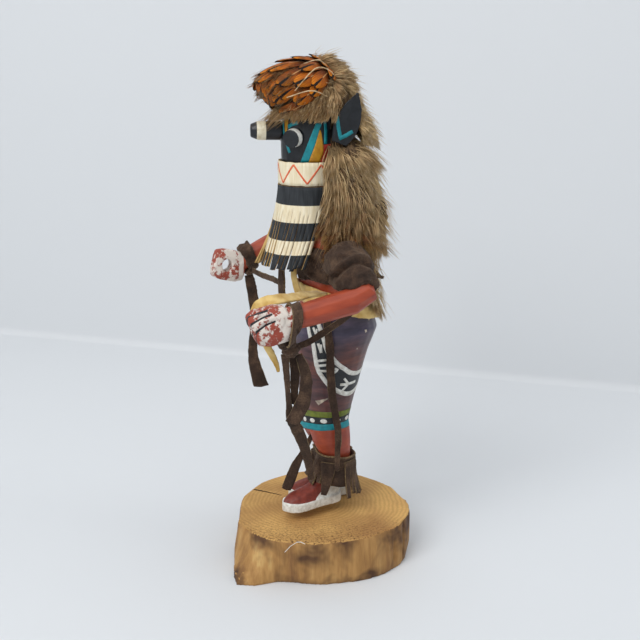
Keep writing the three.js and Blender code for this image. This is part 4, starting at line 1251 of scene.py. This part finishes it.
def ruff_comb(p):
    """Down, and forward at the throat, in soft swirls."""
    front = between(p[:, 1], 12, -6)
    aside = 0.3 * np.sin(p[:, 2] / 7 + p[:, 1] / 5)
    swirl = 0.3 * np.sin(p[:, 2] / 6 + p[:, 0] / 8 + 1.3)
    return combed(p, aside, 0.05 - 0.55 * front * between(p[:, 2], 205, 240) + swirl, -1)


def mantle_comb(p):
    return combed(p, p[:, 0] * 0.003, -0.05 - 0.45 * between(p[:, 1], 10, -6), -1)


def cap_tone(p):
    return 0.45 + 0.5 * between(p[:, 1], 2, 16) - 0.2 * between(p[:, 2], 285, 268)


def ruff_tone(p):
    height = 0.18 * between(p[:, 2], 222, 245) - 0.3 * between(p[:, 2], 224, 206)
    return 0.36 + 0.55 * between(p[:, 1], 12, 32) + height


def mantle_tone(p):
    return 0.1 + 0.75 * between(p[:, 1], 12, 34)


def underfur_depth(p, normal):
    """The wool lies under the hair, thins out at the mantle's foot and sinks beside the face."""
    thin = 2 * between(p.z, 192, 178) + 2.5 * between(p.y, 14, 30) * between(p.z, 250, 230)
    beside_face = 3.5 * between(p.y, 3, -4) * between(p.z, 228, 246)
    over_crown = 1 - 0.75 * between(p.z, 262, 272)  # the cap is thin there
    return (-1.8 - thin - beside_face + 0.8 * grained(p.x / 4, p.y / 4, p.z / 9)) * over_crown


WOOL_FOOT = 177  # mm; below it the mantle is hair alone
CHEEK_X = 12.6  # mm from the middle to the mask's cheeks


def clear_wool(piece):
    """Presses the wool in behind the ear leaves and the painted cheeks, and ends it above the sash."""
    spots = np.empty(len(piece.data.vertices) * 3)
    piece.data.vertices.foreach_get("co", spots)
    p = spots.reshape(-1, 3) / MM
    behind, up, half = ear_place(p)
    near = (behind > -half - 3) & (behind < half + 1) & (up > -6) & (up < 30)
    near = (near | ((p[:, 1] < 2) & (p[:, 2] > 243) & (p[:, 2] < 268))) & (abs(p[:, 0]) > CHEEK_X)
    p[near, 0] = np.sign(p[near, 0]) * (CHEEK_X + 0.12 * (abs(p[near, 0]) - CHEEK_X))
    piece.data.vertices.foreach_set("co", (p * MM).ravel())
    bm = bmesh.new()
    bm.from_mesh(piece.data)
    every = bm.verts[:] + bm.edges[:] + bm.faces[:]
    foot = Vector((0, 0, WOOL_FOOT * MM))
    down = Vector((0, 0, -1))
    cut = bmesh.ops.bisect_plane(bm, geom=every, plane_co=foot, plane_no=down, clear_outer=True)
    bmesh.ops.holes_fill(bm, edges=[e for e in cut["geom_cut"] if isinstance(e, bmesh.types.BMEdge)])
    bm.to_mesh(piece.data)
    bm.free()


def off_ears(p):
    """Keeps hair from lying over the ears or the face."""
    behind, up, half = ear_place(p)
    over_ear = (abs(p[:, 0]) > 11.5) & (abs(behind) < half) & (up > -3)
    return ~over_ear & ~((p[:, 1] < -2) & (p[:, 2] < 266))


def beside_bib(p):
    """The ruff's front edge: it starts behind the neck band and comes forward a little lower down."""
    ahead = 0.342 * abs(p[:, 0]) + 0.94 * p[:, 1]
    edge = np.interp(p[:, 2], [187, 220, 230, 245, 250], [-8.5, -5.2, -2, -1.2, 1.5])
    return ahead > edge + 1.2 * np.sin(p[:, 2] * 1.9) + 0.8 * np.sin(p[:, 2] * 4.3)


def above_face(p):
    behind, up, half = ear_place(p)
    return beside_bib(p) & ~((abs(p[:, 0]) > 11.5) & (abs(behind) < half) & (up > 0))


def off_sash(p):
    """The mantle ends in thin locks above the sash."""
    return (p[:, 2] > np.where(p[:, 1] > 24, 148, 160)) & beside_bib(p)


for name, count, lengths, comb, tone, keep, lift, sink, centre, locks, seed in [
    ("cap", 18500, (8, 13), cap_comb, cap_tone, off_ears, 22, 0.8, 8, 600, 3),
    ("ruff", 14500, (13, 20), ruff_comb, ruff_tone, above_face, 13, 4, -6, 800, 5),
    ("mantle", 12800, (13, 20), mantle_comb, mantle_tone, off_sash, 7, 3.4, -6, 650, 7),
]:
    node = "fur_" + name
    clear_wool(worn(carved(name + "_underfur", node, "fur", 1.3, 2, [underfur]), underfur_depth))
    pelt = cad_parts[node].data
    grow_hair(
        name + "_guard_hair", "fur", pelt, count, lengths, comb, tone, seed, keep,
        locks, lift, sink, centre=centre,
    )

# ---- feather crest ----
# Short rounded pheasant neck feathers, each ending in two orange lobes parted by black, laid in
# tiers from a whorl high at the back; grey-brown fluff fills in under them over the brow.

CROWN = Vector((1, -14, 283))
WHORL = Vector((0, 0.756, 0.655))
OVER = Vector((0, -0.655, 0.756))


def crown_way(fall, turn):
    """A direction from the crown's middle: fall degrees from the whorl, turn degrees off its ridge."""
    f, t = math.radians(fall), math.radians(turn)
    return WHORL * math.cos(f) + (OVER * math.cos(t) + Vector((1, 0, 0)) * math.sin(t)) * math.sin(f)


def on_crown(way, proud):
    overhang = 9 * max(0, -way.y) * (0.4 + 0.6 * between(way.z, -0.4, 0.3))
    reach = Vector((16.5, 18 + overhang, 15.2))
    p = CROWN + Vector([w * (r + proud) for w, r in zip(way, reach)])
    p.z = max(p.z, 268 + 4 * max(0, -way.y) + 0.3 * proud)
    return p


# Feather vane: fine barbs slanting out from a pale shaft; the tip is black with two orange lobes.
vane, tree, shader = new_material("pheasant_feather", Roughness=0.62, Specular_IOR_Level=0.25)
split = add_node(tree, "ShaderNodeSeparateXYZ", {"Vector": add_node(tree, "ShaderNodeUVMap").outputs[0]})
centred = maths(tree, "SUBTRACT", split.outputs["X"], 0.5)
off_shaft = maths(tree, "ABSOLUTE", centred)
slanted = maths(tree, "MULTIPLY_ADD", off_shaft, -1.1, split.outputs["Y"])
barb_space = add_node(tree, "ShaderNodeCombineXYZ", {"X": slanted, "Y": split.outputs["X"]})
barb_stretch = add_node(tree, "ShaderNodeMapping", {"Vector": barb_space.outputs[0], "Scale": (46, 3, 1)})
barbs = noisy(tree, barb_stretch.outputs[0], 1, 3)
orange = shades(tree, split.outputs["Y"], [
    (0, "#4A3422"), (0.35, "#4C2608"), (0.6, "#84400A"), (0.8, "#C66A0C"), (1, "#F0900C"),
])
barb_shade = shades(tree, barbs, [(0.36, "#7A6455"), (0.6, "#FFFFFF")])
# Whole feathers differ: some are bright to the tip and others stay brown.
coords = object_space(tree)
clumps = noisy(tree, coords, 90, 2)
dull = ranged(tree, clumps, 0.5, 0.64, 0, 0.75)
varied = mixed_colour(tree, dull, orange, linear("#5A3110"))
barbed = mixed_colour(tree, 0.85, varied, barb_shade, "MULTIPLY")
# The black starts later the further it is from the shaft, which leaves a lobe on each side. Lengths
# are shares of the feather's length, and distances from the shaft are shares of its width.
BLACK_START, BLACK_RIM, BLACK_EDGE = 0.68, 0.97, 0.485
SHAFT_END, SHAFT_HALF = 0.7, 0.03
notch = maths(tree, "MULTIPLY_ADD", off_shaft, -2.4, split.outputs["Y"])
in_notch = maths(tree, "GREATER_THAN", notch, BLACK_START)
at_rim = maths(tree, "GREATER_THAN", split.outputs["Y"], BLACK_RIM)
at_edge = maths(tree, "GREATER_THAN", off_shaft, BLACK_EDGE)
tip_or_notch = maths(tree, "MAXIMUM", in_notch, at_rim)
dark = maths(tree, "MAXIMUM", tip_or_notch, at_edge)
tipped = mixed_colour(tree, dark, barbed, linear("#120D0B"))
on_shaft = maths(tree, "LESS_THAN", off_shaft, SHAFT_HALF)
before_tip = maths(tree, "LESS_THAN", split.outputs["Y"], SHAFT_END)
shaft = maths(tree, "MULTIPLY", on_shaft, before_tip)
shafted = mixed_colour(tree, shaft, tipped, linear("#B98A58"))
coat(tree, shader, shafted, barbs, 0.5, 0.3)


def feather(bm, tip_fall, turn, length, width, lift, sway):
    """Lays one feather on the crown; its tip is tip_fall and turn degrees from the whorl."""
    spread = width / 19

    def place(across, down):
        side = across * 2 - 1
        # Broad and round at the tip, with a shallow dip between its two lobes.
        half = spread * 0.5 * math.sin(math.pi * min(0.42 + 0.55 * down, 0.97) * 0.9 - 0.5) ** 0.8
        if down > 0.8:
            half *= math.sqrt(max(0.02, 1 - ((down - 0.8) / 0.2) ** 2 * 0.75))
        lobe = 0.05 * math.sin(math.pi * abs(side)) * between(down, 0.6, 1)
        fall = tip_fall - length * (1 - down - lobe)
        here = crown_way(fall, turn + sway * (down - 0.5))
        ahead = (crown_way(fall + 2, turn + sway * (down - 0.46)) - here).normalized()
        way = (here + here.cross(ahead).normalized() * side * half).normalized()
        arch = 0.7 * (1 - side**2)
        return on_crown(way, lift * (0.25 + 0.75 * down) + arch - 1.2 * (1 - down))

    lay_sheet(bm, 8, 14, place)


bm = bmesh.new()
dice = random.Random(21)
TIERS = [(152, 8, 1.0), (126, 9, 2.0), (101, 8, 3.0), (74, 7, 3.9), (46, 5, 4.6)]
for tier, (fall, count, lift) in enumerate(TIERS):
    for k in range(count):
        turn = -98 + 196 * (k + (0.25 if tier % 2 else 0.75)) / count + dice.uniform(-7, 7)
        feather(
            bm, fall + dice.uniform(-9, 9), turn, dice.uniform(66, 84), dice.uniform(8.0, 9.6),
            lift + dice.uniform(-0.3, 0.8), dice.uniform(-14, 14),
        )
finish_sheet("crest_feathers", bm, "feathers", [vane], 0.2)
# Two bare quills have sprung out of the crest, and loose brown barbs lie over it.
pale_quill = poster_paint("pale_feather_quill", "#D8BE96", "#A98A5E", 0.5)
bm = bmesh.new()
for spots in [
    [(12, 3, 289), (13, -5, 292), (13, -13, 292), (16, -22, 284)],
    [(16, -6, 281), (17, -16, 284), (16, -26, 281)],
    [(10, 0, 294), (10, -9, 297), (11, -17, 294)],
]:
    ways = [Vector((x / 16.5, (y + 14) / 18, (z - 283) / 15.2)).normalized() for x, y, z in spots]
    route = [on_crown(way, 6 if k else 3) for k, way in enumerate(ways)]
    lay_strip(bm, route, [0.5, 0.45, 0.2], [(1, 0, 0.3), (1, 0, 0.3)], 3, curl=0, twist=0, rough=0)
finish_sheet("crest_quills", bm, "feathers", [pale_quill], 0.4)


def crest_tone(p):
    return 0.02 + 0.1 * between(p[:, 1], -12, 8)


def over_brow(p):
    return (p[:, 2] > 276) & (p[:, 1] < -6) & (p[:, 1] > np.interp(p[:, 2], [276, 290], [-38, -47]))


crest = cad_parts["feather_crest"].data
grow_hair(
    "crest_barbs", "feathers", crest, 3000, (5, 9), steady(0.02, -0.9, -0.55), crest_tone, 17, over_brow,
    locks=260, lift=12, sink=0.4, width=0.11,
)


def behind_crest(p):
    return (p[:, 1] > -13) & (p[:, 2] > 283)


def whorl_tone(p):
    return 0.42 + 0 * p[:, 0]


# Fur grows up round the whorl and hides the crest's back edge.
grow_hair(
    "whorl_fur", "feathers", crest, 6000, (7, 12), steady(0.03, 0.9, 0.05), whorl_tone, 23, behind_crest,
    locks=260, sink=1.2, width=0.21, centre=-14,
)
padding = carved("crest_underfur", "feather_crest", "feathers", 1.2, 2, [underfur])


def padding_depth(p, normal):
    return -2.2 + 1.7 * between(p.y, -12, -4) + 0.4 * grained(p.x / 4, p.y / 4, p.z / 6)


worn(padding, padding_depth)

# The fluff grows from a skin laid round the top of the mask, under the crest and in front of the ears.
bm = bmesh.new()


def brow(across, down):
    degrees = -238 + 272 * across
    beside = between(abs(degrees + 102), 75, 120)
    angle = math.radians(degrees)
    radius = 17.4 - 3 * (1 - down) * (1 - 0.5 * beside)
    z = 279 + 10 * beside - (9 + 12 * beside) * down
    return (radius * math.cos(angle), AXIS_Y + radius * math.sin(angle), z)


lay_sheet(bm, 40, 8, brow)
bm.normal_update()
bmesh.ops.reverse_faces(bm, faces=bm.faces)
skin = bpy.data.meshes.new("brow_skin")
bm.to_mesh(skin)
bm.free()


def brow_tone(p):
    return 0.3 + 0.2 * between(p[:, 1], -10, 6)


def clear_forehead(p):
    """The fluff stops short over the forehead's painted stripes and keeps off the ears."""
    degrees = np.degrees(np.arctan2(p[:, 1] - AXIS_Y, abs(p[:, 0])))
    lowest = 261.5 + 6.5 * between(degrees, -82, -70) * between(degrees, -38, -50)
    lowest = lowest + 1.6 * np.sin(degrees * 0.9)
    return (p[:, 2] > lowest) & off_ears(p + np.array([0, 4, 0]) * (p[:, 1:2] < 0))


grow_hair(
    "brow_fluff", "feathers", skin, 9000, (7, 12), steady(0.03, -0.75, -0.75), brow_tone, 13,
    clear_forehead, lift=26, sink=1, width=0.2,
)


def at_front(p):
    return p[:, 1] < -20


grow_hair(
    "front_wisps", "feathers", skin, 420, (13, 20), steady(0.02, -1, -0.3), brow_tone, 19, at_front,
    locks=60, lift=22, sink=1, width=0.14,
)
bpy.data.meshes.remove(skin)
